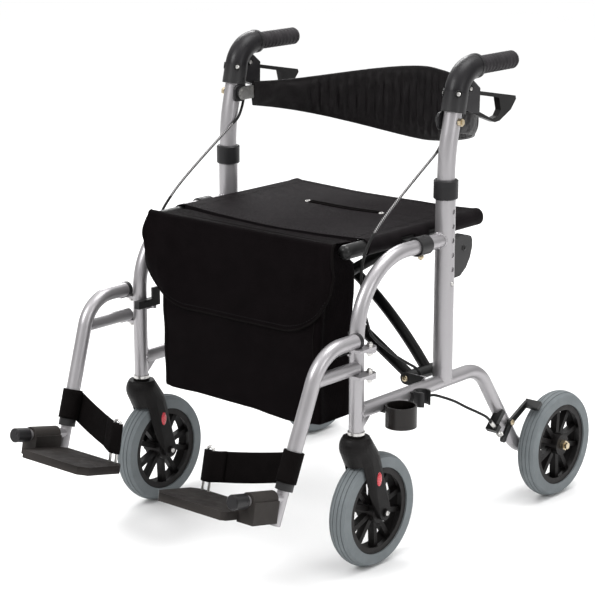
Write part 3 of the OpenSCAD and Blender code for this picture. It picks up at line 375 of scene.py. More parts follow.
def silver_paint():
    """Metallic silver coat: fine flakes, a little orange peel, clear top layer."""
    s = Surface("frame_paint", (0.35, 0.340, 0.350), 0.36, 0.70)
    flakes = s.noise(2600, 2)
    clouds = s.noise(18, 3)
    mottle = s.mixed(flakes, 0.6, clouds, 0.4)
    s.tint(mottle, (0.325, 0.314, 0.324), (0.375, 0.364, 0.375))
    s.rough(clouds, 0.33, 0.40)
    s.set("Coat Weight", 0.12)
    s.set("Coat Roughness", 0.20)
    s.bump(flakes, 0.02, 0.0003)
    return s.material


def moulded(name, dark, light, roughness, grain, depth, wear, specular):
    """Moulded plastic: fine cast grain, faint flow marks and rubbed edges."""
    s = Surface(name, dark, roughness, specular=specular)
    flow = s.noise(22, 4)
    grains = s.cells(grain)
    s.worn_edges(s.tint(flow, dark, light), wear)
    s.rough(s.noise(60, 3), roughness - 0.07, roughness + 0.07)
    s.bump(grains, 0.25, depth)
    return s.material


def black_steel():
    """Black powder coat with orange peel."""
    s = Surface("black_steel", (0.006, 0.0055, 0.0055), 0.30, specular=0.25)
    peel = s.noise(420, 2)
    s.worn_edges(s.tint(s.noise(30, 3), (0.004, 0.004, 0.004), (0.009, 0.009, 0.009)), (0.05, 0.05, 0.05))
    s.rough(s.noise(50, 3), 0.28, 0.42)
    s.bump(peel, 0.12, 0.0006)
    return s.material


def plated(name, dark, light, roughness):
    """Plated metal with fine turning marks and slight stains."""
    s = Surface(name, light, roughness, 1.0)
    marks = s.noise(900, 2, (1.0, 1.0, 6.0))
    s.tint(s.noise(120, 4), dark, light)
    s.rough(marks, roughness - 0.08, roughness + 0.10)
    s.bump(marks, 0.08, 0.0003)
    return s.material


def wire_rope():
    """Bare steel inner cable with the twist of its strands."""
    s = Surface("wire_rope", (0.40, 0.39, 0.39), 0.34, 1.0)
    strands = s.wave(110, "DIAGONAL")
    s.tint(strands, (0.05, 0.048, 0.048), (0.24, 0.235, 0.235))
    s.bump(strands, 0.5, 0.0006)
    return s.material


def grip_rubber():
    """Soft moulded rubber with slanting ribs."""
    s = Surface("grip_rubber", (0.019, 0.017, 0.019), 0.60, specular=0.20)
    ribs = s.wave(38, "DIAGONAL")
    s.tint(s.noise(40, 4), (0.015, 0.0135, 0.015), (0.026, 0.0235, 0.026))
    s.rough(s.noise(300, 3), 0.52, 0.70)
    s.bump(s.maths("ADD", ribs, s.maths("MULTIPLY", s.noise(1500, 2), 0.3)), 0.30, 0.0009)
    return s.material


def tyre_rubber():
    """Grey foam tyre: matt, slightly mottled, with fine pores."""
    s = Surface("tyre_grey", (0.150, 0.166, 0.173), 0.66, specular=0.20)
    mottle = s.noise(35, 4)
    s.tint(mottle, (0.140, 0.156, 0.163), (0.168, 0.186, 0.194))
    s.rough(s.noise(90, 3), 0.56, 0.74)
    s.bump(s.cells(1400), 0.18, 0.0004)
    return s.material


def cloth(name, dark, light, threads, pitch, roughness, sheen, crinkle, specular):
    """Woven nylon: two sets of threads, slubs, crinkles and a soft sheen."""
    s = Surface(name, dark, roughness, specular=specular)
    warp, weft = (s.wave(WAVE_LENGTH / pitch, direction) for direction in threads)
    weave = s.maths("MULTIPLY", warp, weft)
    slubs = s.noise(260, 3)
    wrinkles = s.noise(crinkle, 4)
    s.tint(s.mixed(slubs, 0.5, wrinkles, 0.5), dark, light)
    s.rough(slubs, roughness - 0.08, roughness + 0.08)
    s.set("Sheen Weight", sheen)
    s.set("Sheen Roughness", 0.45)
    s.set("Sheen Tint", (0.55, 0.53, 0.55, 1.0))
    height = s.maths("ADD", s.maths("MULTIPLY", weave, 0.35), wrinkles)
    s.bump(height, 0.35, 0.0016)
    return s.material


def red_lens():
    """Red reflector with a pattern of small prisms under its skin."""
    s = Surface("red_lens", (0.50, 0.01, 0.02), 0.14)
    prisms = s.cells(650)
    s.tint(prisms, (0.34, 0.006, 0.012), (0.62, 0.03, 0.05))
    s.set("Coat Weight", 0.6)
    s.set("Coat Roughness", 0.08)
    s.bump(prisms, 0.4, 0.0006)
    return s.material


def floor_paint():
    s = Surface("floor", (0.92, 0.92, 0.92), 0.60, specular=0.0)
    s.tint(s.noise(3, 3), (0.915, 0.915, 0.915), (0.925, 0.925, 0.925))
    s.bump(s.noise(400, 2), 0.02, 0.0005)
    return s.material


# Dark and light tone, roughness, grain, its depth, tone of worn edges, specular level
MOULDED = {
    "black_plastic": (
        (0.0075, 0.007, 0.008), (0.013, 0.012, 0.0135), 0.33, 1300, 0.0003, (0.035, 0.035, 0.035), 0.22),
    "lever_plastic": (
        (0.0045, 0.004, 0.004), (0.008, 0.007, 0.007), 0.40, 1100, 0.0003, (0.02, 0.02, 0.02), 0.12),
    "cup_plastic": (
        (0.004, 0.0034, 0.0032), (0.008, 0.0065, 0.006), 0.20, 900, 0.0002, (0.03, 0.027, 0.026), 0.18),
    "cable_sleeve": (
        (0.005, 0.005, 0.005), (0.009, 0.009, 0.009), 0.42, 2500, 0.0002, (0.02, 0.02, 0.02), 0.18),
    "wheel_plastic": (
        (0.005, 0.0045, 0.0045), (0.009, 0.008, 0.008), 0.46, 1100, 0.0005, (0.03, 0.028, 0.028), 0.12),
    "plate_plastic": (
        (0.010, 0.0085, 0.008), (0.017, 0.0145, 0.0135), 0.60, 700, 0.0009, (0.05, 0.045, 0.042), 0.10),
    "thread": (
        (0.005, 0.0045, 0.005), (0.009, 0.008, 0.009), 0.60, 3000, 0.0002, (0.015, 0.015, 0.015), 0.08),
}
# Dark and light tone, thread directions, pitch, roughness, sheen, crinkles, specular level
WOVEN = {
    "webbing": ((0.0025, 0.002, 0.002), (0.005, 0.004, 0.004), "XZ", 0.0016, 0.74, 0.01, 60, 0.03),
    "seat_cloth": ((0.006, 0.005, 0.0055), (0.011, 0.009, 0.010), "XY", 0.0012, 0.58, 0.01, 38, 0.02),
    "bag_nylon": (
        (0.0020, 0.0014, 0.0016), (0.0042, 0.0030, 0.0034), "XZ", 0.0011, 0.62, 0.005, 30, 0.015),
    "quilted_cloth": (
        (0.003, 0.0023, 0.0026), (0.008, 0.0065, 0.007), "XZ", 0.0012, 0.46, 0.02, 45, 0.12),
}
PAINT = {
    "frame_paint": silver_paint(),
    "grip_rubber": grip_rubber(),
    "steel": plated("steel", (0.42, 0.41, 0.40), (0.66, 0.65, 0.63), 0.28),
    "wire_rope": wire_rope(),
    "black_steel": black_steel(),
    "tyre_grey": tyre_rubber(),
    "brass": plated("brass", (0.36, 0.30, 0.20), (0.60, 0.51, 0.36), 0.30),
    "red_lens": red_lens(),
}
PAINT.update({name: moulded(name, *look) for name, look in MOULDED.items()})
PAINT.update({name: cloth(name, *look) for name, look in WOVEN.items()})


def paint_cad():
    """Gives every carried-over CAD node the finish of its material slot."""
    for part in frame["record"]["subparts"]:
        materials = NODES[part["node"]].data.materials
        materials.clear()
        materials.append(PAINT[part["material_slot"]])


def paint_part(node, finish, inside=None, sign=1):
    """Paints a CAD node, or those faces whose middle, brought to the left side, passes the test."""
    mesh = NODES[node].data
    mesh.materials.append(PAINT[finish])
    index = len(mesh.materials) - 1
    for face in mesh.polygons:
        if inside is None or inside(Vector(mirrored(face.center, sign))):
            face.material_index = index


# Seat sling

SEAT_WRAP_R = RAIL_R + 0.0004
SEAT_CLOTH_T = 0.0016
SEAT_SAG = 0.006
SEAT_HEM = 0.014
SEAT_COLS = 84
SEAT_ROWS = 78
SEAT_WRAP = math.radians(265)
SEAT_WRAP_STEPS = 18
SEAT_CUT_STEP = 5
SEAT_CUTS = ((SADDLE_Y, 0.0195), (BACK_BAR_Y, 0.0225))
SEAT_SPAN = 0.205
SEAT_SEAM_X = 0.188
SEAT_SEAM_END = 0.002
SEAT_HEM_SEAM = SEAT_HEM - 0.003
SEAT_BAND_DROP = 0.018
SEAT_BAND_T = 0.0012
SEAT_BAND_HALF = 0.199
SEAT_BAND_INSET = 0.0012
SEAT_BAND_LEAN = 0.02
SEAT_BAND_PROUD = 0.0004


def seat_level(x):
    """Height of the sling across its width, without its folds."""
    return SEAT_RAIL_Z + SEAT_WRAP_R - SEAT_SAG * (1 - (x / SEAT_RAIL_X) ** 2)


def seat_section():
    """Half of the sling's section as (x, z), from the middle outwards and round the rail."""
    points = [(x, seat_level(x)) for x in steps(0.0, SEAT_RAIL_X, SEAT_COLS // 2)]
    for k in range(1, SEAT_WRAP_STEPS + 1):
        a = math.pi / 2 - SEAT_WRAP * k / SEAT_WRAP_STEPS
        points.append((SEAT_RAIL_X + SEAT_WRAP_R * math.cos(a), SEAT_RAIL_Z + SEAT_WRAP_R * math.sin(a)))
    return points


def seat_height(x, y):
    """Small folds of the sling: broad hollows, pulls beside the rails and thicker hems."""
    on_span = 1 - smooth_step(SEAT_RAIL_X - 0.012, SEAT_RAIL_X, abs(x))
    broad = 0.0024 * ripple(5 * x, 8 * y, 0.3) + 0.0011 * ripple(14 * x, 11 * y, 2.0)
    beside = math.exp(-(SEAT_RAIL_X - abs(x)) / 0.030)
    pulls = 0.0011 * beside * math.sin(2 * math.pi * y / 0.038 + 2.5 * ripple(6 * y, 3 * x))
    edge = min(y - SEAT_FRONT_Y, SEAT_REAR_Y - y)
    hem = 0.0011 * (1 - smooth_step(SEAT_HEM - 0.002, SEAT_HEM, edge))
    return on_span * (broad + pulls) + hem


def seat_top(x, y):
    return seat_level(x) + seat_height(x, y)


def seat_follow(obj):
    """Bakes the piece's placement into its mesh; the sling hangs between the two seat rails, which belong
    to the two cross arms, but it is not attached to them.
    """
    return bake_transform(obj)


def make_seat():
    half = seat_section()
    section = [(-x, z) for x, z in reversed(half[1:])] + half
    rings = []
    for y in steps(SEAT_FRONT_Y, SEAT_REAR_Y, SEAT_ROWS):
        rings.append([
            Vector((x, y, z + (seat_height(x, y) if z > SEAT_RAIL_Z else 0.0))) for x, z in section
        ])

    def cut_away(row, column):
        """The pocket round the rail is open at the rail's saddle and where the back bar folds past."""
        wrap = SEAT_WRAP_STEPS - min(column + 1, len(section) - 1 - column)
        middle = (rings[row][column].y + rings[row + 1][column].y) / 2
        return wrap >= SEAT_CUT_STEP and any(abs(middle - y) < reach for y, reach in SEAT_CUTS)

    shape = Shape()
    shape.loft(rings, ring_closed=False, skip=cut_away)
    seat = shape.build("seat_sling", PAINT["seat_cloth"], "seat_cloth", smooth_angle=60)
    solidify(seat, SEAT_CLOTH_T, 1.0)
    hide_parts("seat")
    seat_follow(seat)
    # Dark cloth band under the front hem: painted shade for the slit between seat and bag.
    make_seat_shade_band()


def make_seat_shade_band():
    """Band of cloth along the front hem, hanging down behind the bag's top edge: dark cloth that fills the
    slit between seat and bag as painted shade.
    """
    rows = []
    for drop in steps(0.0, SEAT_BAND_DROP, 6):
        rows.append([
            Vector((
                x,
                SEAT_FRONT_Y + SEAT_BAND_INSET + SEAT_BAND_LEAN * drop,
                seat_top(x, SEAT_FRONT_Y) + SEAT_BAND_PROUD - drop,
            ))
            for x in steps(-SEAT_BAND_HALF, SEAT_BAND_HALF, SEAT_COLS)
        ])
    shape = Shape()
    shape.loft(rows, ring_closed=False)
    band = shape.build("seat_front_shade_band", PAINT["seat_cloth"], "seat_cloth")
    solidify(band, SEAT_BAND_T, 0.0)
    seat_follow(band)
    return band


def seat_line(points):
    return [Vector((x, y, seat_top(x, y) + SEAT_CLOTH_T)) for x, y in points]


LIFT_X = 0.010
LIFT_Y = 0.096
LIFT_HALF = 0.086
LIFT_W = 0.0045
LIFT_CORD_R = 0.0020


def lift_slot():
    """Bound slot across the sling, by which the seat is pulled up to fold the chair."""
    path = []
    for a in circle_angles(64):
        x = LIFT_X + (LIFT_HALF - 0.008) * max(-1.0, min(1.0, 1.4 * math.cos(a)))
        y = LIFT_Y + LIFT_W * max(-1.0, min(1.0, 1.6 * math.sin(a)))
        path.append(Vector((x, y, seat_top(x, y) + SEAT_CLOTH_T + 0.0006)))
    shape = Shape()
    shape.tube(path, LIFT_CORD_R, 8, closed=True)
    return shape


def add_eyelet(shape, centre):
    profile = [
        (0.0026, -0.0004), (0.0028, 0.0009), (0.0040, 0.0014), (0.0052, 0.0009), (0.0056, -0.0004),
    ]
    shape.lathe(profile, centre, (0, 0, 1), 28)


def make_seat_trim():
    stitch = Shape()
    upward = Vector((0, 0, 1))
    across = steps(-SEAT_SPAN, SEAT_SPAN, 160)
    add_stitches(stitch, seat_line([(x, SEAT_FRONT_Y + SEAT_HEM_SEAM) for x in across]), upward)
    add_stitches(stitch, seat_line([(x, SEAT_REAR_Y - SEAT_HEM_SEAM) for x in across]), upward)
    for x in (-SEAT_SEAM_X, SEAT_SEAM_X):
        along = steps(SEAT_FRONT_Y + SEAT_SEAM_END, SEAT_REAR_Y - SEAT_SEAM_END, 140)
        add_stitches(stitch, seat_line([(x, y) for y in along]), upward)
    seat_follow(stitch.build("seat_stitching", PAINT["thread"], "seat_cloth"))
    seat_follow(lift_slot().build("seat_lift_slot", PAINT["webbing"], "webbing"))
    rings = Shape()
    for end in (-1, 1):
        add_eyelet(rings, seat_line([(LIFT_X + end * LIFT_HALF, LIFT_Y)])[0])
    seat_follow(rings.build("seat_eyelets", PAINT["steel"], "steel"))


STITCH_PITCH = 0.0052
STITCH_LEN = 0.0034
STITCH_R = 0.00045


def add_stitches(shape, line, outward):
    """Row of thread stitches along a line on a cloth, each one dipping in at its ends."""
    travelled = 0.0
    for p, q in zip(line, line[1:]):
        travelled += (q - p).length
        if travelled < STITCH_PITCH:
            continue
        travelled = 0.0
        along = (q - p).normalized() * (STITCH_LEN / 2)
        dip = outward * (1.4 * STITCH_R)
        low, high = 0.6 * along, 0.5 * dip
        shape.tube([p - along - dip, p - low + high, p + low + high, p + along - dip], STITCH_R, 5)


# Bag and flap

BAG_Y = -0.146
BAG_TOP_Z = 0.561
BAG_LOW_Z = 0.253
BAG_HALF_TOP = 0.1962
BAG_HALF_LOW = 0.183
BAG_DEPTH = 0.0370
BAG_SQUARENESS = 12.0
BAG_RINGS = 64
BAG_SIDES = 168
BAG_BOTTOM_RINGS = 10
BAG_TOP_RINGS = 7
BAG_PIPING_R = 0.0014
BAG_EDGE_R = 0.009
BAG_TUCK = 0.0095
BAG_FULLNESS = 0.006
BAG_GUSSET = 0.026
BAG_BOTTOM_R = 0.009
BAG_BOTTOM_RISE = 0.011
BAG_TOP_ZONE = 0.030
BAG_SLOPE_Y = BAG_Y - 0.030
BAG_HEM_GAP = 0.0016
# Share of the bag's half width on which the flap lies flat
BAG_FACE = 0.955
FLAP_HALF = 0.2110
FLAP_TOP_Z = 0.5645
FLAP_LOW_Z = 0.405
FLAP_CORNER = 0.105
FLAP_CLOTH_T = 0.0024
FLAP_GAP = 0.0028
FLAP_SHOULDER = 0.10
FLAP_SHOULDER_R = 0.0075
FLAP_BINDING_R = 0.0022
# Share of the flap's width and length at which its seam runs
FLAP_SEAM = 0.955
FLAP_COLS = 96
FLAP_ROWS = 60


def bag_share(z):
    return min(max((z - BAG_LOW_Z) / (BAG_TOP_Z - BAG_LOW_Z), 0.0), 1.0)


def bag_half_width(z):
    t = bag_share(z)
    return BAG_HALF_LOW + (BAG_HALF_TOP - BAG_HALF_LOW) * t - 0.005 * math.sin(math.pi * t)


def bag_half_depth(z):
    """Section's half depth: fullest a third of the way up, flatter at the hem on top."""
    return BAG_DEPTH * (0.93 + 0.07 * math.sin(math.pi * (1 - bag_share(z)) ** 1.3))


def bag_dent(x, z):
    """Loose hollows, hanging folds and pulls from the upper corners."""
    folds = 0.0026 * ripple(9 * x, 4 * z, 1.7) + 0.0014 * ripple(22 * x, 9 * z, 4.0)
    corner = math.exp(-abs(abs(x) - 0.17) / 0.03)
    pulls = math.sin(2 * math.pi * z / 0.075 + 3 * ripple(4 * x, 5 * z))
    slant = (abs(x) + 0.8 * (BAG_TOP_Z - z)) / 0.060
    drawn = (1 - smooth_step(0.0, 0.22, BAG_TOP_Z - z)) * math.sin(2 * math.pi * slant)
    return (folds + 0.0014 * corner * pulls + 0.0006 * drawn) * (1 - smooth_step(0.86, 0.97, bag_share(z)))


def bag_sag(x):
    """Droop of the bottom, lowest at the corners and wavy between them."""
    corners = 0.004 * (abs(x) / BAG_HALF_LOW) ** 3
    return -0.009 - corners - 0.002 * smooth_step(0.0, 0.18, x) + 0.0065 * ripple(13 * x, 0.5)


def bag_point(a, z, shrink=1.0):
    power = 2 / BAG_SQUARENESS
    c, s = math.cos(a), math.sin(a)
    across = math.copysign(abs(c) ** power, c)
    deep = math.copysign(abs(s) ** power, s)
    share = bag_share(z)
    middle = math.exp(-(deep / 0.45) ** 2)
    pleat = 0.016 * abs(across) ** 6 * middle * math.sin(math.pi * share) ** 0.5
    x = (across * bag_half_width(z) - math.copysign(pleat, across)) * shrink
    full = (BAG_FULLNESS + BAG_GUSSET * abs(across) ** 8) * (1 - smooth_step(0.80, 0.94, share))
    full *= max(deep, 0.0)
    y = BAG_Y + (deep * bag_half_depth(z) + full + bag_dent(x, z) * deep) * shrink
    hang = bag_sag(x) * max(0.0, 1 - 2.2 * share) ** 2
    return Vector((x, y, z + hang))


def bag_rings():
    angles = circle_angles(BAG_SIDES)
    rings = []
    for k in range(BAG_BOTTOM_RINGS):
        shrink = math.sin(math.pi / 2 * (k + 1) / (BAG_BOTTOM_RINGS + 1))
        lift = Vector((0, 0, BAG_BOTTOM_R * (1 - math.sqrt(max(0.0, 1 - shrink ** 2)))))
        rings.append([bag_point(a, BAG_LOW_Z, shrink) + lift for a in angles])
    for z in steps(BAG_LOW_Z + BAG_BOTTOM_RISE, BAG_TOP_Z - BAG_EDGE_R, BAG_RINGS):
        rings.append([bag_point(a, z) for a in angles])
    top = [bag_point(a, BAG_TOP_Z - BAG_EDGE_R) for a in angles]
    for turn in steps(0.0, math.pi / 2, BAG_TOP_RINGS)[1:]:
        inset = BAG_EDGE_R * (1 - math.cos(turn)) / BAG_DEPTH
        rings.append([upper_edge(p, inset, BAG_EDGE_R * math.sin(turn)) for p in top])
    for inset in steps(BAG_EDGE_R / BAG_DEPTH, 0.90, BAG_TOP_RINGS)[1:]:
        rings.append([upper_edge(p, inset, BAG_EDGE_R) for p in top])
    return rings


def upper_edge(point, inset, rise):
    """Point of the upper edge drawn in towards the bag's middle line and raised."""
    return Vector((point.x * 0.998, BAG_Y + (point.y - BAG_Y) * (1 - inset), point.z + rise))


def bag_top_slope(point):
    """The top panel falls towards the back, so that its rear edge tucks under the seat's hem."""
    near_top = smooth_step(BAG_TOP_Z - BAG_TOP_ZONE, BAG_TOP_Z - BAG_EDGE_R, point.z)
    back = smooth_step(BAG_SLOPE_Y, BAG_Y + BAG_DEPTH, point.y)
    hem = min(seat_top(point.x, SEAT_FRONT_Y + 0.004 * k) for k in range(4)) - BAG_HEM_GAP
    drop = max(0.0, BAG_TOP_Z - hem) * smooth_step(BAG_TOP_Z - BAG_TOP_ZONE, BAG_TOP_Z, point.z)
    flatter = 0.8 * (BAG_TOP_Z - point.z) * near_top
    return point + Vector((0, BAG_TUCK * near_top * back ** 3, (flatter - drop) * back))


def make_bag():
    shape = Shape()
    shape.loft([[bag_top_slope(p) for p in ring] for ring in bag_rings()])
    bag = shape.build("bag_shell", PAINT["bag_nylon"], "bag_nylon", smooth_angle=70)
    pinned = [v.index for v in bag.data.vertices if v.co.z > BAG_TOP_Z - BAG_TOP_ZONE]
    settle(bag, pinned, pressure=0.6, gravity=1.0, slack=0.02, cap=0.006)
    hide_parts("bag")
    cover = BVHTree.FromPolygons(
        [v.co.copy() for v in bag.data.vertices], [tuple(f.vertices) for f in bag.data.polygons])
    bag_follow(bag, "seat")
    piping = Shape()
    for front in (1, -1):
        edge = [on_cover(cover, p) for p in bag_edge(front)]
        piping.tube(edge, BAG_PIPING_R, 8)
    bag_follow(piping.build("bag_piping", PAINT["webbing"], "webbing"), "seat")
    return cover


def bag_follow(obj, body):
    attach(obj, body)
    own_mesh(obj)


def on_cover(cover, point):
    """Nearest point of the bag's cloth."""
    return cover.find_nearest(point)[0]


def bag_edge(front):
    """Bound seam between the side gussets and the front or back panel, round the bottom."""
    lean = math.radians(48)
    path = []
    for side in (1, -1):
        a = -front * (lean if side > 0 else math.pi - lean)
        run = [bag_point(a, z) for z in steps(BAG_LOW_Z + 0.016, BAG_TOP_Z - 0.010, 50)]
        path += run[::-1] if side > 0 else run
        if side > 0:
            y = BAG_Y - front * bag_half_depth(BAG_LOW_Z) * 0.97
            ends = run[0].x - 0.006
            path += [Vector((x, y, BAG_LOW_Z + 0.004 + bag_sag(x))) for x in steps(ends, -ends, 60)]
    return path


def flap_low(x):
    """Height of the flap's lower edge, with round corners."""
    past = max(0.0, abs(x) - (FLAP_HALF - FLAP_CORNER))
    return FLAP_LOW_Z + FLAP_CORNER - math.sqrt(max(0.0, FLAP_CORNER ** 2 - past ** 2))


def front_of(cover, x, z):
    """How far forward the bag's cloth stands at a place; past its sides, that of its edge."""
    inner = BAG_FACE * bag_half_width(z)
    start = Vector((min(max(x, -inner), inner), BAG_Y - 0.2, min(z, BAG_TOP_Z - 0.006)))
    hit = cover.ray_cast(start, Vector((0, 1, 0)))[0]
    return hit.y


def flap_point(cover, x, t):
    """Point of the flap at the share t of the way from its hinge edge to its lower edge."""
    shoulder_z = FLAP_TOP_Z - FLAP_SHOULDER_R
    down = max(0.0, (t - FLAP_SHOULDER) / (1 - FLAP_SHOULDER))
    z = shoulder_z + (flap_low(x) - shoulder_z) * down
    bulge = 0.0012 * math.sin(math.pi * down) + 0.0022 * down * down * (1 - (x / FLAP_HALF) ** 2)
    folds = 0.0010 * ripple(7 * x, 5 * z, 7.7) + 0.0006 * ripple(18 * x, 8 * z, 3.3)
    stand_off = 0.012 * smooth_step(0.06, 0.20, -x) * math.sin(math.pi * min(1.0, 0.75 * down))
    curl = 0.0045 * smooth_step(BAG_HALF_TOP - 0.004, FLAP_HALF, x) * (0.3 + 0.7 * down)
    y = front_of(cover, x, z) - FLAP_GAP - bulge - abs(folds) * down - stand_off + curl
    if t >= FLAP_SHOULDER:
        return Vector((x, y, z))
    turn = math.pi / 2 * (1 - t / FLAP_SHOULDER)
    back, rise = FLAP_SHOULDER_R * (1 - math.cos(turn)), FLAP_SHOULDER_R * math.sin(turn)
    return Vector((x, y + back, z + rise))


def make_flap(cover):
    columns = []
    for x in steps(-FLAP_HALF, FLAP_HALF, FLAP_COLS):
        columns.append([flap_point(cover, x, t) for t in steps(0.0, 1.0, FLAP_ROWS)])
    shape = Shape()
    shape.loft(columns, ring_closed=False)
    flap = shape.build("bag_flap_cloth", PAINT["bag_nylon"], "bag_nylon", smooth_angle=70)
    solidify(flap, FLAP_CLOTH_T, 0.0)
    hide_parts("bag_flap")
    bag_follow(flap, "bag_flap")
    edge = [columns[0][k] for k in range(0, FLAP_ROWS + 1, 2)]
    edge += [column[-1] for column in columns[1:-1]]
    edge += [columns[-1][k] for k in range(FLAP_ROWS, -1, -2)]
    binding = Shape()
    binding.tube(edge, FLAP_BINDING_R, 8)
    bag_follow(binding.build("bag_flap_binding", PAINT["webbing"], "webbing"), "bag_flap")
    stitch = Shape()
    inner = [flap_point(cover, x * FLAP_SEAM, FLAP_SEAM) for x in steps(-FLAP_HALF, FLAP_HALF, 300)]
    add_stitches(stitch, [p + Vector((0, -FLAP_CLOTH_T / 2, 0)) for p in inner], Vector((0, -1, 0)))
    bag_follow(stitch.build("bag_flap_stitching", PAINT["thread"], "bag_nylon"), "bag_flap")


# Backrest pad

PAD_R = 0.230
PAD_DEPTH = 0.245
PAD_CENTRE_Y = 0.1011
PAD_SWEEP = math.radians(86)
PAD_PLAIN = math.radians(56)
PAD_H_MID = 0.140
PAD_H_END = 0.046
PAD_H_POWER = 1.6
PAD_DROP = 0.026
PAD_DROP_POWER = 0.75
PAD_HALF_T = 0.0074
PAD_EDGE_T = 0.0026
PAD_CHANNELS = 26
PAD_STEPS = 10
PAD_RING = 40
PAD_BINDING = 0.88
PAD_BINDING_T = 0.0034
PAD_RIM_T = 0.0004
PAD_SEAM = 0.84
PAD_EDGE_SEAM = 0.93
PAD_END_RINGS = int((PAD_SWEEP - PAD_PLAIN) / math.radians(1.5))


def pad_half_height(a):
    return (PAD_H_END + (PAD_H_MID - PAD_H_END) * (1 - abs(math.sin(a)) ** PAD_H_POWER)) / 2


def pad_middle(a, off, rise):
    return Vector((
        (PAD_R + off) * math.sin(a),
        PAD_CENTRE_Y + (PAD_DEPTH + off) * math.cos(a),
        BACK_BOLT.z - PAD_DROP * math.cos(a) ** PAD_DROP_POWER + rise,
    ))


def pad_swell(a):
    """Puff of the quilted channels, smooth in the plain ends."""
    if abs(a) > PAD_PLAIN:
        return 0.72
    phase = (a + PAD_PLAIN) / (2 * PAD_PLAIN) * PAD_CHANNELS * math.pi
    return 0.15 + 0.85 * abs(math.sin(phase)) ** 0.6


def pad_half_thickness(a, v):
    """Half thickness at the height v, from -1 at the lower edge to 1 at the upper edge."""
    edge = math.sqrt(max(0.0, 1 - abs(v) ** 6))
    if abs(v) > PAD_BINDING:
        return PAD_BINDING_T * edge + PAD_RIM_T
    inner = 1 - (abs(v) / PAD_BINDING) ** 4
    end = smooth_step(0.0, math.radians(7), PAD_SWEEP - abs(a))
    return PAD_EDGE_T + (PAD_HALF_T - PAD_EDGE_T) * inner * pad_swell(a) * (0.55 + 0.45 * end)


def pad_wave(a, v):
    return 0.0010 * ripple(9 * a, 3 * v, 5.0)


def pad_heights():
    """Height share of each point of a ring, up the back and down the front."""
    turns = circle_angles(PAD_RING)
    return [math.copysign(abs(math.sin(t)) ** 0.75, math.sin(t)) for t in turns]


def pad_ring(a):
    ring = []
    for turn, v in zip(circle_angles(PAD_RING), pad_heights()):
        off = math.copysign(pad_half_thickness(a, v), math.cos(turn))
        if abs(math.cos(turn)) < 1e-6:
            off = 0.0
        ring.append(pad_middle(a, off + pad_wave(a, v), v * pad_half_height(a)))
    return ring


def pad_angles():
    ends = steps(PAD_PLAIN, PAD_SWEEP, PAD_END_RINGS)[1:]
    middle = steps(-PAD_PLAIN, PAD_PLAIN, PAD_CHANNELS * PAD_STEPS)
    return [-a for a in reversed(ends)] + middle + ends


def pad_pins():
    """Points held by thread: the stitch lines, the binding and the sewn ends."""
    ends = PAD_END_RINGS
    rings = len(pad_angles())
    pins = []
    for i in range(rings):
        on_seam = (i - ends) % PAD_STEPS == 0 and ends <= i < rings - ends
        at_end = i < 2 or i >= rings - 2
        for k, v in enumerate(pad_heights()):
            if on_seam or at_end or abs(v) > PAD_BINDING * 0.96:
                pins.append(i * PAD_RING + k)
    return pins


def pad_follow(obj):
    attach(obj, "left_back_bar")
    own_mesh(obj)


def make_pad():
    shape = Shape()
    shape.loft([pad_ring(a) for a in pad_angles()])
    pad = shape.build("backrest_quilt", PAINT["quilted_cloth"], "quilted_cloth", smooth_angle=70)
    settle(pad, pad_pins(), pressure=4.0, gravity=0.0, slack=0.01, cap=0.003)
    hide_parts("backrest_pad")
    pad_follow(pad)
    stitch = Shape()
    for a in steps(-PAD_PLAIN, PAD_PLAIN, PAD_CHANNELS):
        add_stitches(stitch, pad_line([a] * 61, steps(-PAD_SEAM, PAD_SEAM, 60)), pad_inward(a))
    for v in (-PAD_EDGE_SEAM, PAD_EDGE_SEAM):
        angles = steps(-PAD_SWEEP, PAD_SWEEP, 320)
        for first, second in ((0, 160), (160, 320)):
            part = angles[first:second + 1]
            add_stitches(stitch, pad_line(part, [v] * len(part)), pad_inward(part[len(part) // 2]))
    pad_follow(stitch.build("backrest_stitching", PAINT["thread"], "quilted_cloth"))


def pad_inward(a):
    return Vector((-math.sin(a), -math.cos(a), 0))


def pad_line(angles, heights):
    line = []
    for a, v in zip(angles, heights):
        off = pad_wave(a, v) - pad_half_thickness(a, v)
        line.append(pad_middle(a, off, v * pad_half_height(a)))
    return line


# Heel straps

STRAP_T = 0.0024
STRAP_W = 0.052
STRAP_LEG_S = 0.190
STRAP_DROOP = 0.002
WIRE_X = -0.145
WIRE_RUN = 0.0217
WIRE_LOW = -0.020
WIRE_MID = 0.022
WIRE_LOOP_R = 0.0115
WIRE_LOOP_T = 0.0048
STRAP_LAP = 0.14
STRAP_LAP_GAP = 0.0030
STRAP_LEG_R = SLEEVE_R + 0.0012
STRAP_SIDE = 0.0035


def leg_point(s):
    return Vector((
        HANGER_X - s * math.cos(HANGER_SLOPE) * math.sin(HANGER_LEAN),
        HANGER_CORNER_Y - s * math.sin(HANGER_SLOPE),
        HANGER_Z - s * math.cos(HANGER_SLOPE) * math.cos(HANGER_LEAN),
    ))


def on_stub(x, up, along):
    return STUB_POINT + Vector((x, 0, 0)) + STUB_UP * up + STUB_DIR * along


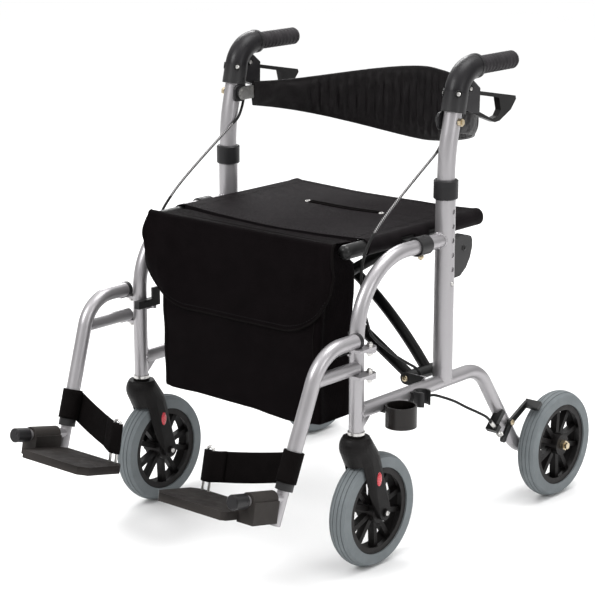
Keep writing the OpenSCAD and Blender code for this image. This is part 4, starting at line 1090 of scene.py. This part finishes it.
def strap_path():
    """Middle of the band with its width direction: round the leg, across, round the wire post."""
    leg = leg_point(STRAP_LEG_S)
    leg_up = (leg_point(0.0) - leg_point(0.2)).normalized()
    wire = on_stub(WIRE_X, WIRE_MID, WIRE_RUN)
    across = Vector((0, 1, 0)).cross(leg_up).normalized()
    front = leg_up.cross(across).normalized()
    path = []
    for degrees in steps(-80, 260, 24):
        a = math.radians(degrees)
        path.append((leg + (across * math.cos(a) - front * math.sin(a)) * STRAP_LEG_R, leg_up))
    start = path[-1][0]
    end = wire + Vector((WIRE_LOOP_R, STRAP_SIDE, 0))
    for t in steps(0.0, 1.0, 30)[1:-1]:
        point = start.lerp(end, t) - Vector((0, 0, STRAP_DROOP * math.sin(math.pi * t)))
        path.append((point, leg_up.lerp(STUB_UP, smooth_step(0.0, 1.0, t)).normalized()))
    for degrees in steps(60, 310, 16):
        a = math.radians(degrees)
        turn = Vector((math.cos(a) * WIRE_LOOP_R, 0, 0)) - STUB_DIR * (math.sin(a) * WIRE_LOOP_T)
        path.append((wire + turn, STUB_UP))
    lap = end.lerp(start, STRAP_LAP) + STUB_DIR * STRAP_LAP_GAP
    last = path[-1][0]
    for t in steps(0.0, 1.0, 8)[1:]:
        path.append((last.lerp(lap, t), STUB_UP))
    return path


def make_straps():
    path = strap_path()
    for side, sign in SIDES.items():
        shape = Shape()
        widths = steps(-STRAP_W / 2, STRAP_W / 2, 12)
        shape.loft([[p + up * w for w in widths] for p, up in path], ring_closed=False)
        strap = shape.build(f"{side}_heel_band", PAINT["webbing"], "webbing", sign, 70)
        solidify(strap, STRAP_T, 0.0)
        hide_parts(f"{side}_heel_strap")
        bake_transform(strap)


# Brake cables, held from the lever to the adjuster

CABLE_R = 0.0025
BARE_R = 0.0024
CABLE_STEPS = 8
BARE_FROM = 5
BARE_TO = 9
# Points of the route of the cable, from the lever down to the adjuster
CABLE_ROUTE = [
    (0.253, 0.1198, 0.753), (0.250, 0.1158, 0.742), (0.244, 0.1078, 0.728), (0.238, 0.0958, 0.712),
    (0.234, 0.0818, 0.697), (0.235, 0.0678, 0.686), (0.235, 0.024, 0.659), (0.235, -0.030, 0.625),
    (0.235, -0.073, 0.596), (0.235, -0.099, 0.575), (0.236, -0.121, 0.551), (0.236, -0.132, 0.524),
    (0.236, -0.133, 0.494), (0.236, -0.127, 0.460), (0.236, -0.117, 0.426), (0.236, -0.099, 0.395),
    (0.236, -0.046, 0.355), (0.236, -0.007, 0.331), (0.236, 0.021, 0.314), (0.236, 0.033, 0.298),
    (0.236, 0.036, 0.283), (0.238, 0.039, 0.271), (0.243, 0.048, 0.261), (0.247, 0.065, 0.257),
]
CABLE_TO_BARREL = [
    (-0.017, -0.092, 0.058), (-0.011, -0.061, 0.040), (-0.005, -0.035, 0.0255),
    (-0.001, -0.016, 0.0143), (0.0, -0.007, 0.0072), (0.0, 0.0, 0.0),
]
PULL_POINT = Vector((0.270, 0.2415, 0.137))
PULL_ANGLE = math.radians(134)
PULL_DIR = Vector((0, math.cos(PULL_ANGLE), math.sin(PULL_ANGLE)))
PULL_LEN = 0.0603


def cable_follow(obj):
    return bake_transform(obj)


def make_cables():
    barrel_end = PULL_POINT + PULL_DIR * PULL_LEN
    route = [Vector(p) for p in CABLE_ROUTE] + [barrel_end + Vector(p) for p in CABLE_TO_BARREL]
    curve = spline(route, CABLE_STEPS)
    first, last = BARE_FROM * CABLE_STEPS, BARE_TO * CABLE_STEPS
    for side, sign in SIDES.items():
        sleeve = Shape()
        sleeve.tube(curve[:first + 1], CABLE_R, 14)
        sleeve.tube(curve[last:], CABLE_R, 14)
        cable = sleeve.build(f"{side}_cable_sleeve", PAINT["cable_sleeve"], "cable_sleeve", sign)
        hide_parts(f"{side}_brake_cable")
        cable_follow(cable)
        bare = Shape()
        bare.tube(curve[first - 2:last + 3], BARE_R, 12)
        cable_follow(bare.build(f"{side}_cable_wire", PAINT["wire_rope"], "steel", sign))


# Small fittings


def add_screw(shape, centre, axis, radius, height):
    """Pan head with a recess in its middle."""
    profile = [
        (radius, 0.0), (radius, 0.35 * height), (0.85 * radius, 0.8 * height), (0.5 * radius, height),
        (0.42 * radius, height), (0.34 * radius, 0.45 * height), (0.05 * radius, 0.40 * height),
    ]
    shape.lathe(profile, centre, axis, 28)


def add_recess(shape, centre, axis, radius, height):
    """Raised round rim of a screw's sinking."""
    profile = [
        (radius * 0.74, 0.0), (radius * 0.74, 0.7 * height), (radius * 0.86, height),
        (radius * 0.97, 0.7 * height), (radius, 0.0),
    ]
    shape.lathe(profile, centre, axis, 32, closed=True)


def add_nut(shape, centre, axis, across, height, bolt_r, proud):
    """Hexagon nut with chamfered corners and the round end of its bolt."""
    corner = across / math.sqrt(3)
    sides = [(corner * 0.9, 0.0), (corner, height * 0.15), (corner, height * 0.85), (corner * 0.88, height)]
    shape.lathe(sides, centre, axis, 6)
    top = Vector(centre) + Vector(axis).normalized() * (height * 0.9)
    tip = [(bolt_r, 0.0), (bolt_r, proud * 0.7), (bolt_r * 0.7, proud), (bolt_r * 0.1, proud * 1.02)]
    shape.lathe(tip, top, axis, 20)


def weld_ring(shape, centre, axis, branch_r, main_r, main_axis):
    """Ripple-topped weld bead where a branch tube runs square into a main tube."""
    axis, main_axis = Vector(axis).normalized(), Vector(main_axis).normalized()
    third = main_axis.cross(axis)
    path = []
    for a in circle_angles(96):
        u, v = branch_r * math.cos(a), branch_r * math.sin(a)
        depth = math.sqrt(max(0.0, main_r ** 2 - v ** 2))
        path.append(Vector(centre) + main_axis * u + third * v + axis * (depth + 0.0006))
    rings = []
    for k, (point, normal, binormal) in enumerate(path_frames(path, True)):
        radius = 0.0021 + 0.00035 * math.sin(2 * math.pi * k / 4)
        turns = [normal * math.sin(a) + binormal * math.cos(a) for a in circle_angles(8)]
        rings.append([point + turn * radius for turn in turns])
    shape.loft(rings, closed=True)


def reflector(shape, centre, half_w, half_h, depth):
    """Domed oval lens on a plane square to the X axis."""
    rings = []
    for t in steps(0.0, math.pi / 2, 7):
        share = math.cos(t * 0.96)
        rings.append([
            Vector(centre)
            + Vector((depth * math.sin(t), half_w * share * math.cos(a), half_h * share * math.sin(a)))
            for a in circle_angles(36)
        ])
    shape.loft(rings)


def fit(shape, name, finish, slot, side, body):
    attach(shape.build(f"{side}_{name}", PAINT[finish], slot, SIDES[side]), f"{side}_{body}")


ELBOW_SCREW = Vector((HALF_TRACK, 0.0977, 0.787))
LEVER_SCREW_X = 0.0119
LEVER_SCREW_Y = 0.1237
LEVER_SCREW_Z = 0.794


def fit_sunk_screws(side, name, places, screw, rim):
    """Screws in their sinkings, with rims in a darker finish as painted shade: places are (screw, rim,
    axis), screw and rim are (radius, height).
    """
    screws, shade_rims = Shape(), Shape()
    for screw_place, rim_place, axis in places:
        add_screw(screws, screw_place, axis, *screw)
        add_recess(shade_rims, rim_place, axis, *rim)
    fit(screws, f"{name}_screws", "steel", "steel", side, "handle")
    # The rims take the very dark cable-sleeve finish: painted shade for the dark ring round each screw in
    # its sinking.
    fit(shade_rims, f"{name}_rims", "cable_sleeve", "black_plastic", side, "handle")


def make_handle_screws(side):
    elbow, lever = [], []
    for across in (-1, 1):
        out = Vector((across * 0.74, -0.66, 0.12)).normalized()
        elbow.append((ELBOW_SCREW + out * (ELBOW_R - 0.0010), ELBOW_SCREW + out * (ELBOW_R - 0.0012), out))
        place = Vector((HALF_TRACK + across * LEVER_SCREW_X, LEVER_SCREW_Y, LEVER_SCREW_Z))
        lever.append((place, place, (across, 0, 0)))
    fit_sunk_screws(side, "elbow", elbow, (0.0040, 0.0024), (0.0066, 0.0026))
    fit_sunk_screws(side, "lever", lever, (0.0040, 0.0022), (0.0064, 0.0022))


PLATE_X = (0.2315, 0.2367)
PLATE_HALF_Y = 0.0165
PLATE_HALF_Z = 0.0155
PLATE_HOLE_R = 0.0086


def make_back_plate(side):
    """Rounded plate between the back bar and the tube, bored for the bolt's spacer."""
    def ring(x, share):
        points = []
        for a in circle_angles(48):
            c, s = math.cos(a), math.sin(a)
            y = math.copysign(abs(c) ** 0.6, c) * PLATE_HALF_Y
            z = math.copysign(abs(s) ** 0.6, s) * PLATE_HALF_Z
            hole = Vector((0, c * PLATE_HOLE_R, s * PLATE_HOLE_R))
            place = hole.lerp(Vector((0, y, z)), share)
            points.append(Vector((x, BACK_BOLT.y + place.y, BACK_BOLT.z + place.z)))
        return points

    low, high = PLATE_X
    edge = 0.0012
    shape = Shape()
    shape.loft([
        ring(low, 0.0), ring(low, 0.9), ring(low + edge, 1.0), ring(high - edge, 1.0),
        ring(high, 0.9), ring(high, 0.0),
    ], closed=True)
    fit(shape, "back_plate", "black_plastic", "black_plastic", side, "handle")


def make_welds(side):
    shape = Shape()
    weld_ring(shape, (HALF_TRACK, UPRIGHT_Y, UPPER_RAIL_Z), (0, -1, 0), RAIL_R, UPRIGHT_R, (0, 0, 1))
    weld_ring(shape, (HALF_TRACK, POST_Y, LOWER_RAIL_Z), (0, 1, 0), RAIL_R, RAIL_R, (0, 0, 1))
    fit(shape, "frame_welds", "frame_paint", "frame_paint", side, "frame")


REFLECTOR_X = 0.0299
REFLECTOR_Y = -0.139
REFLECTOR_Z = 0.165
AXLE_SCREW_X = 0.0339


def make_fork_trim(side):
    lens, ends = Shape(), Shape()
    for across in (-1, 1):
        place = (HALF_TRACK + across * REFLECTOR_X, REFLECTOR_Y, REFLECTOR_Z)
        reflector(lens, place, 0.0062, 0.0125, across * 0.0030)
        end = CASTER_AXLE + Vector((across * AXLE_SCREW_X, 0, 0))
        add_screw(ends, end, (across, 0, 0), 0.0044, 0.0020)
    fit(lens, "reflectors", "red_lens", "black_plastic", side, "caster")
    fit(ends, "axle_screws", "steel", "steel", side, "caster")


SPRING_FROM = 0.0135
SPRING_TO = 0.0228
SPRING_R = 0.0050
SPRING_WIRE_R = 0.0007
SPRING_COILS = 4
SPRING_STEPS = 18


def make_brake_spring(side):
    """Return spring between the adjuster's barrel and the brake arm."""
    start, end = PULL_POINT + PULL_DIR * SPRING_FROM, PULL_POINT + PULL_DIR * SPRING_TO
    side_dir = Vector((1, 0, 0))
    other = PULL_DIR.cross(side_dir)
    last = SPRING_COILS * SPRING_STEPS
    path = []
    for k in range(last + 1):
        a = 2 * math.pi * k / SPRING_STEPS
        turn = side_dir * math.cos(a) + other * math.sin(a)
        path.append(start.lerp(end, k / last) + turn * SPRING_R)
    shape = Shape()
    shape.tube(path, SPRING_WIRE_R, 8)
    fit(shape, "brake_spring", "steel", "steel", side, "frame")


BRAKE_NUT = Vector((0.2735, BRAKE_PIVOT.y, BRAKE_PIVOT.z))
BLOCK_SCREW = Vector((HALF_TRACK + 0.0119, 0.113, 0.517))
SADDLE_NUT = Vector((HALF_TRACK, SADDLE_Y, 0.5212))


def make_fasteners(side):
    """Nuts (across, height, bolt radius, bolt end) and screw heads (radius, height) on the frame."""
    ear = Vector((SEAT_RAIL_X, EAR_FRONT_Y[side], BRACE_Z))
    for name, finish, slot, add, *where in (
        ("brake_nut", "brass", "steel", add_nut, BRAKE_NUT, (1, 0, 0), 0.010, 0.0032, 0.0026, 0.002),
        ("ear_bolt", "brass", "steel", add_screw, ear, (0, -1, 0), 0.0060, 0.0034),
        ("block_screw", "black_steel", "black_steel", add_screw, BLOCK_SCREW, (1, 0, 0), 0.0050, 0.0024),
        ("saddle_nut", "brass", "steel", add_nut, SADDLE_NUT, (0, 0, -1), 0.009, 0.006, 0.0024, 0.003),
    ):
        shape = Shape()
        add(shape, *where)
        fit(shape, name, finish, slot, side, "frame")


def make_hanger_ring(side):
    """Plastic end ring round the rear end of the hanger's top tube."""
    inner, outer = RAIL_R * 0.98, RAIL_R + 0.0009
    profile = [
        (inner, 0.0), (outer - 0.0006, 0.0), (outer, 0.0006), (outer, 0.0074),
        (outer - 0.0006, 0.0080), (inner, 0.0080),
    ]
    shape = Shape()
    start = Vector((HANGER_X, POST_Y - RAIL_R - 0.0110, HANGER_Z))
    shape.lathe(profile, start, (0, 1, 0), 36, closed=True)
    fit(shape, "hanger_ring", "black_plastic", "black_plastic", side, "hanger")


def make_fittings():
    for side in SIDES:
        make_handle_screws(side)
        make_back_plate(side)
        make_welds(side)
        make_fork_trim(side)
        make_brake_spring(side)
        make_fasteners(side)
        make_hanger_ring(side)


# Second finishes on CAD nodes: caps, sleeves, nuts, bolt heads and the wire post

LEG_START = leg_point(0.0)
LEG_DIR = (leg_point(0.3) - LEG_START).normalized()
SLEEVE_LOW, SLEEVE_HIGH = 0.1985, 0.2295
CAP_FROM = 0.0913
CAP_R = 0.014
WIRE_FROM_X = -0.130
BACK_BOLT_X = 0.2264
AXLE_NUT_X = 0.3085
POST_RING_H = 0.0055
POST_RING_R = 0.02
HINGE_BOLT_R = 0.0070
BARREL_LOW, BARREL_HIGH = 0.023, 0.061
BARREL_R = 0.0046


def from_line(point, origin, direction):
    """How far along a line a point lies from the line's origin, and how far off the line."""
    offset = point - origin
    along = offset.dot(direction)
    return along, (offset - direction * along).length


def in_sleeve(point):
    along, off = from_line(point, LEG_START, LEG_DIR)
    return SLEEVE_LOW < along < SLEEVE_HIGH and off > SLEEVE_R - 0.0015


def in_hinge_bolt(point):
    return math.hypot(point.x - HINGE_X, point.y - HINGE_Y) < HINGE_BOLT_R


def in_cap(point):
    along, off = from_line(point, STUB_POINT, STUB_DIR)
    return along > CAP_FROM and off < CAP_R


def in_wire(point):
    offset = point - STUB_POINT
    return offset.x < WIRE_FROM_X and offset.dot(STUB_UP) > WIRE_LOW + 0.0003


def in_back_nut(point):
    return point.x > HALF_TRACK + HANDLE_R * 0.98


def in_back_bolt(point):
    return point.x < BACK_BOLT_X


def in_axle_nut(point):
    return point.x > AXLE_NUT_X


def in_post_ring(point):
    offset = point - Vector((HALF_TRACK, POST_Y, 0))
    return offset.z < POST_LOW_Z + POST_RING_H and Vector((offset.x, offset.y)).length < POST_RING_R


def in_barrel(point):
    along, off = from_line(point, PULL_POINT, PULL_DIR)
    return BARREL_LOW < along < BARREL_HIGH and off < BARREL_R


def in_ears(point):
    return point.x < EAR_EDGE_X


SECOND_FINISHES = (
    ("brake_lever", "lever_plastic", None),
    ("hanger", "black_plastic", in_sleeve),
    ("hanger", "steel", in_hinge_bolt),
    ("extension", "black_plastic", in_cap),
    ("footplate", "steel", in_wire),
    ("back_bar", "brass", in_back_nut),
    ("back_bar", "steel", in_back_bolt),
    ("rear_axle", "brass", in_axle_nut),
    ("front_tube", "steel", in_post_ring),
    ("brake_bracket", "steel", in_barrel),
    ("lower_rail", "black_steel", in_ears),
)


def paint_parts():
    for side, sign in SIDES.items():
        for node, finish, inside in SECOND_FINISHES:
            paint_part(f"{side}_{node}", finish, inside, sign)
    paint_part("cane_cup", "cup_plastic")


# Stage

CAMERA_TARGET = Vector((0.0066, -0.0291, 0.4125))
CAMERA_AZIMUTH = math.radians(40.72)
CAMERA_ELEVATION = math.radians(14.53)
CAMERA_DISTANCE = 3.5944
CAMERA_LENS = 122.34
CAMERA_SENSOR = 36


def place_camera():
    data = bpy.data.cameras.new("camera")
    data.lens = CAMERA_LENS
    data.sensor_width = CAMERA_SENSOR
    camera = bpy.data.objects.new("camera", data)
    level = math.cos(CAMERA_ELEVATION)
    away = Vector((
        math.sin(CAMERA_AZIMUTH) * level,
        -math.cos(CAMERA_AZIMUTH) * level,
        math.sin(CAMERA_ELEVATION),
    ))
    camera.location = CAMERA_TARGET + away * CAMERA_DISTANCE
    camera.rotation_euler = (-away).to_track_quat("-Z", "Y").to_euler()
    bpy.context.scene.collection.objects.link(camera)
    bpy.context.scene.camera = camera


# Name, place, size and power of each light
LIGHTS = (
    ("key", (-0.6, -2.6, 2.6), 1.2, 60),
    ("fill", (3.0, -0.2, 1.4), 1.0, 14),
    ("rim", (-2.2, 1.8, 2.4), 1.4, 40),
    ("top", (0.4, 0.4, 3.0), 1.6, 40),
)
LIGHT_AIM = Vector((0, 0, 0.45))


def add_light(name, place, size, power):
    data = bpy.data.lights.new(name, "AREA")
    data.size = size
    data.energy = power
    light = bpy.data.objects.new(name, data)
    light.location = place
    light.rotation_euler = (LIGHT_AIM - Vector(place)).to_track_quat("-Z", "Y").to_euler()
    bpy.context.scene.collection.objects.link(light)


FLOOR_HALF = 40.0
SKY_LOW = 0.22
SKY_HIGH = 1.50


def studio_sky(tree):
    """Light that grows from the horizon to straight overhead, like a wide softbox."""
    direction = tree.nodes.new("ShaderNodeTexCoord").outputs["Generated"]
    split = tree.nodes.new("ShaderNodeSeparateXYZ")
    tree.links.new(direction, split.inputs["Vector"])
    height = tree.nodes.new("ShaderNodeMapRange")
    height.inputs["To Min"].default_value = SKY_LOW
    height.inputs["To Max"].default_value = SKY_HIGH
    tree.links.new(split.outputs["Z"], height.inputs["Value"])
    background = tree.nodes["Background"]
    background.inputs["Color"].default_value = (1.0, 1.0, 1.0, 1.0)
    tree.links.new(height.outputs["Result"], background.inputs["Strength"])


def make_stage():
    """Plain pale floor, even white surroundings and four soft lights; tones shown as they are."""
    shape = Shape()
    corners = [(-1, -1), (1, -1), (1, 1), (-1, 1)]
    shape.add([(FLOOR_HALF * x, FLOOR_HALF * y, 0) for x, y in corners], [(0, 1, 2, 3)])
    shape.build("floor", floor_paint())
    world = bpy.data.worlds.new("studio")
    world.use_nodes = True
    studio_sky(world.node_tree)
    bpy.context.scene.world = world
    bpy.context.scene.view_settings.view_transform = "Standard"
    for light in LIGHTS:
        add_light(*light)


place_camera()
paint_cad()
paint_parts()
make_seat()
make_seat_trim()
make_flap(make_bag())
make_pad()
make_straps()
make_cables()
make_fittings()
make_stage()
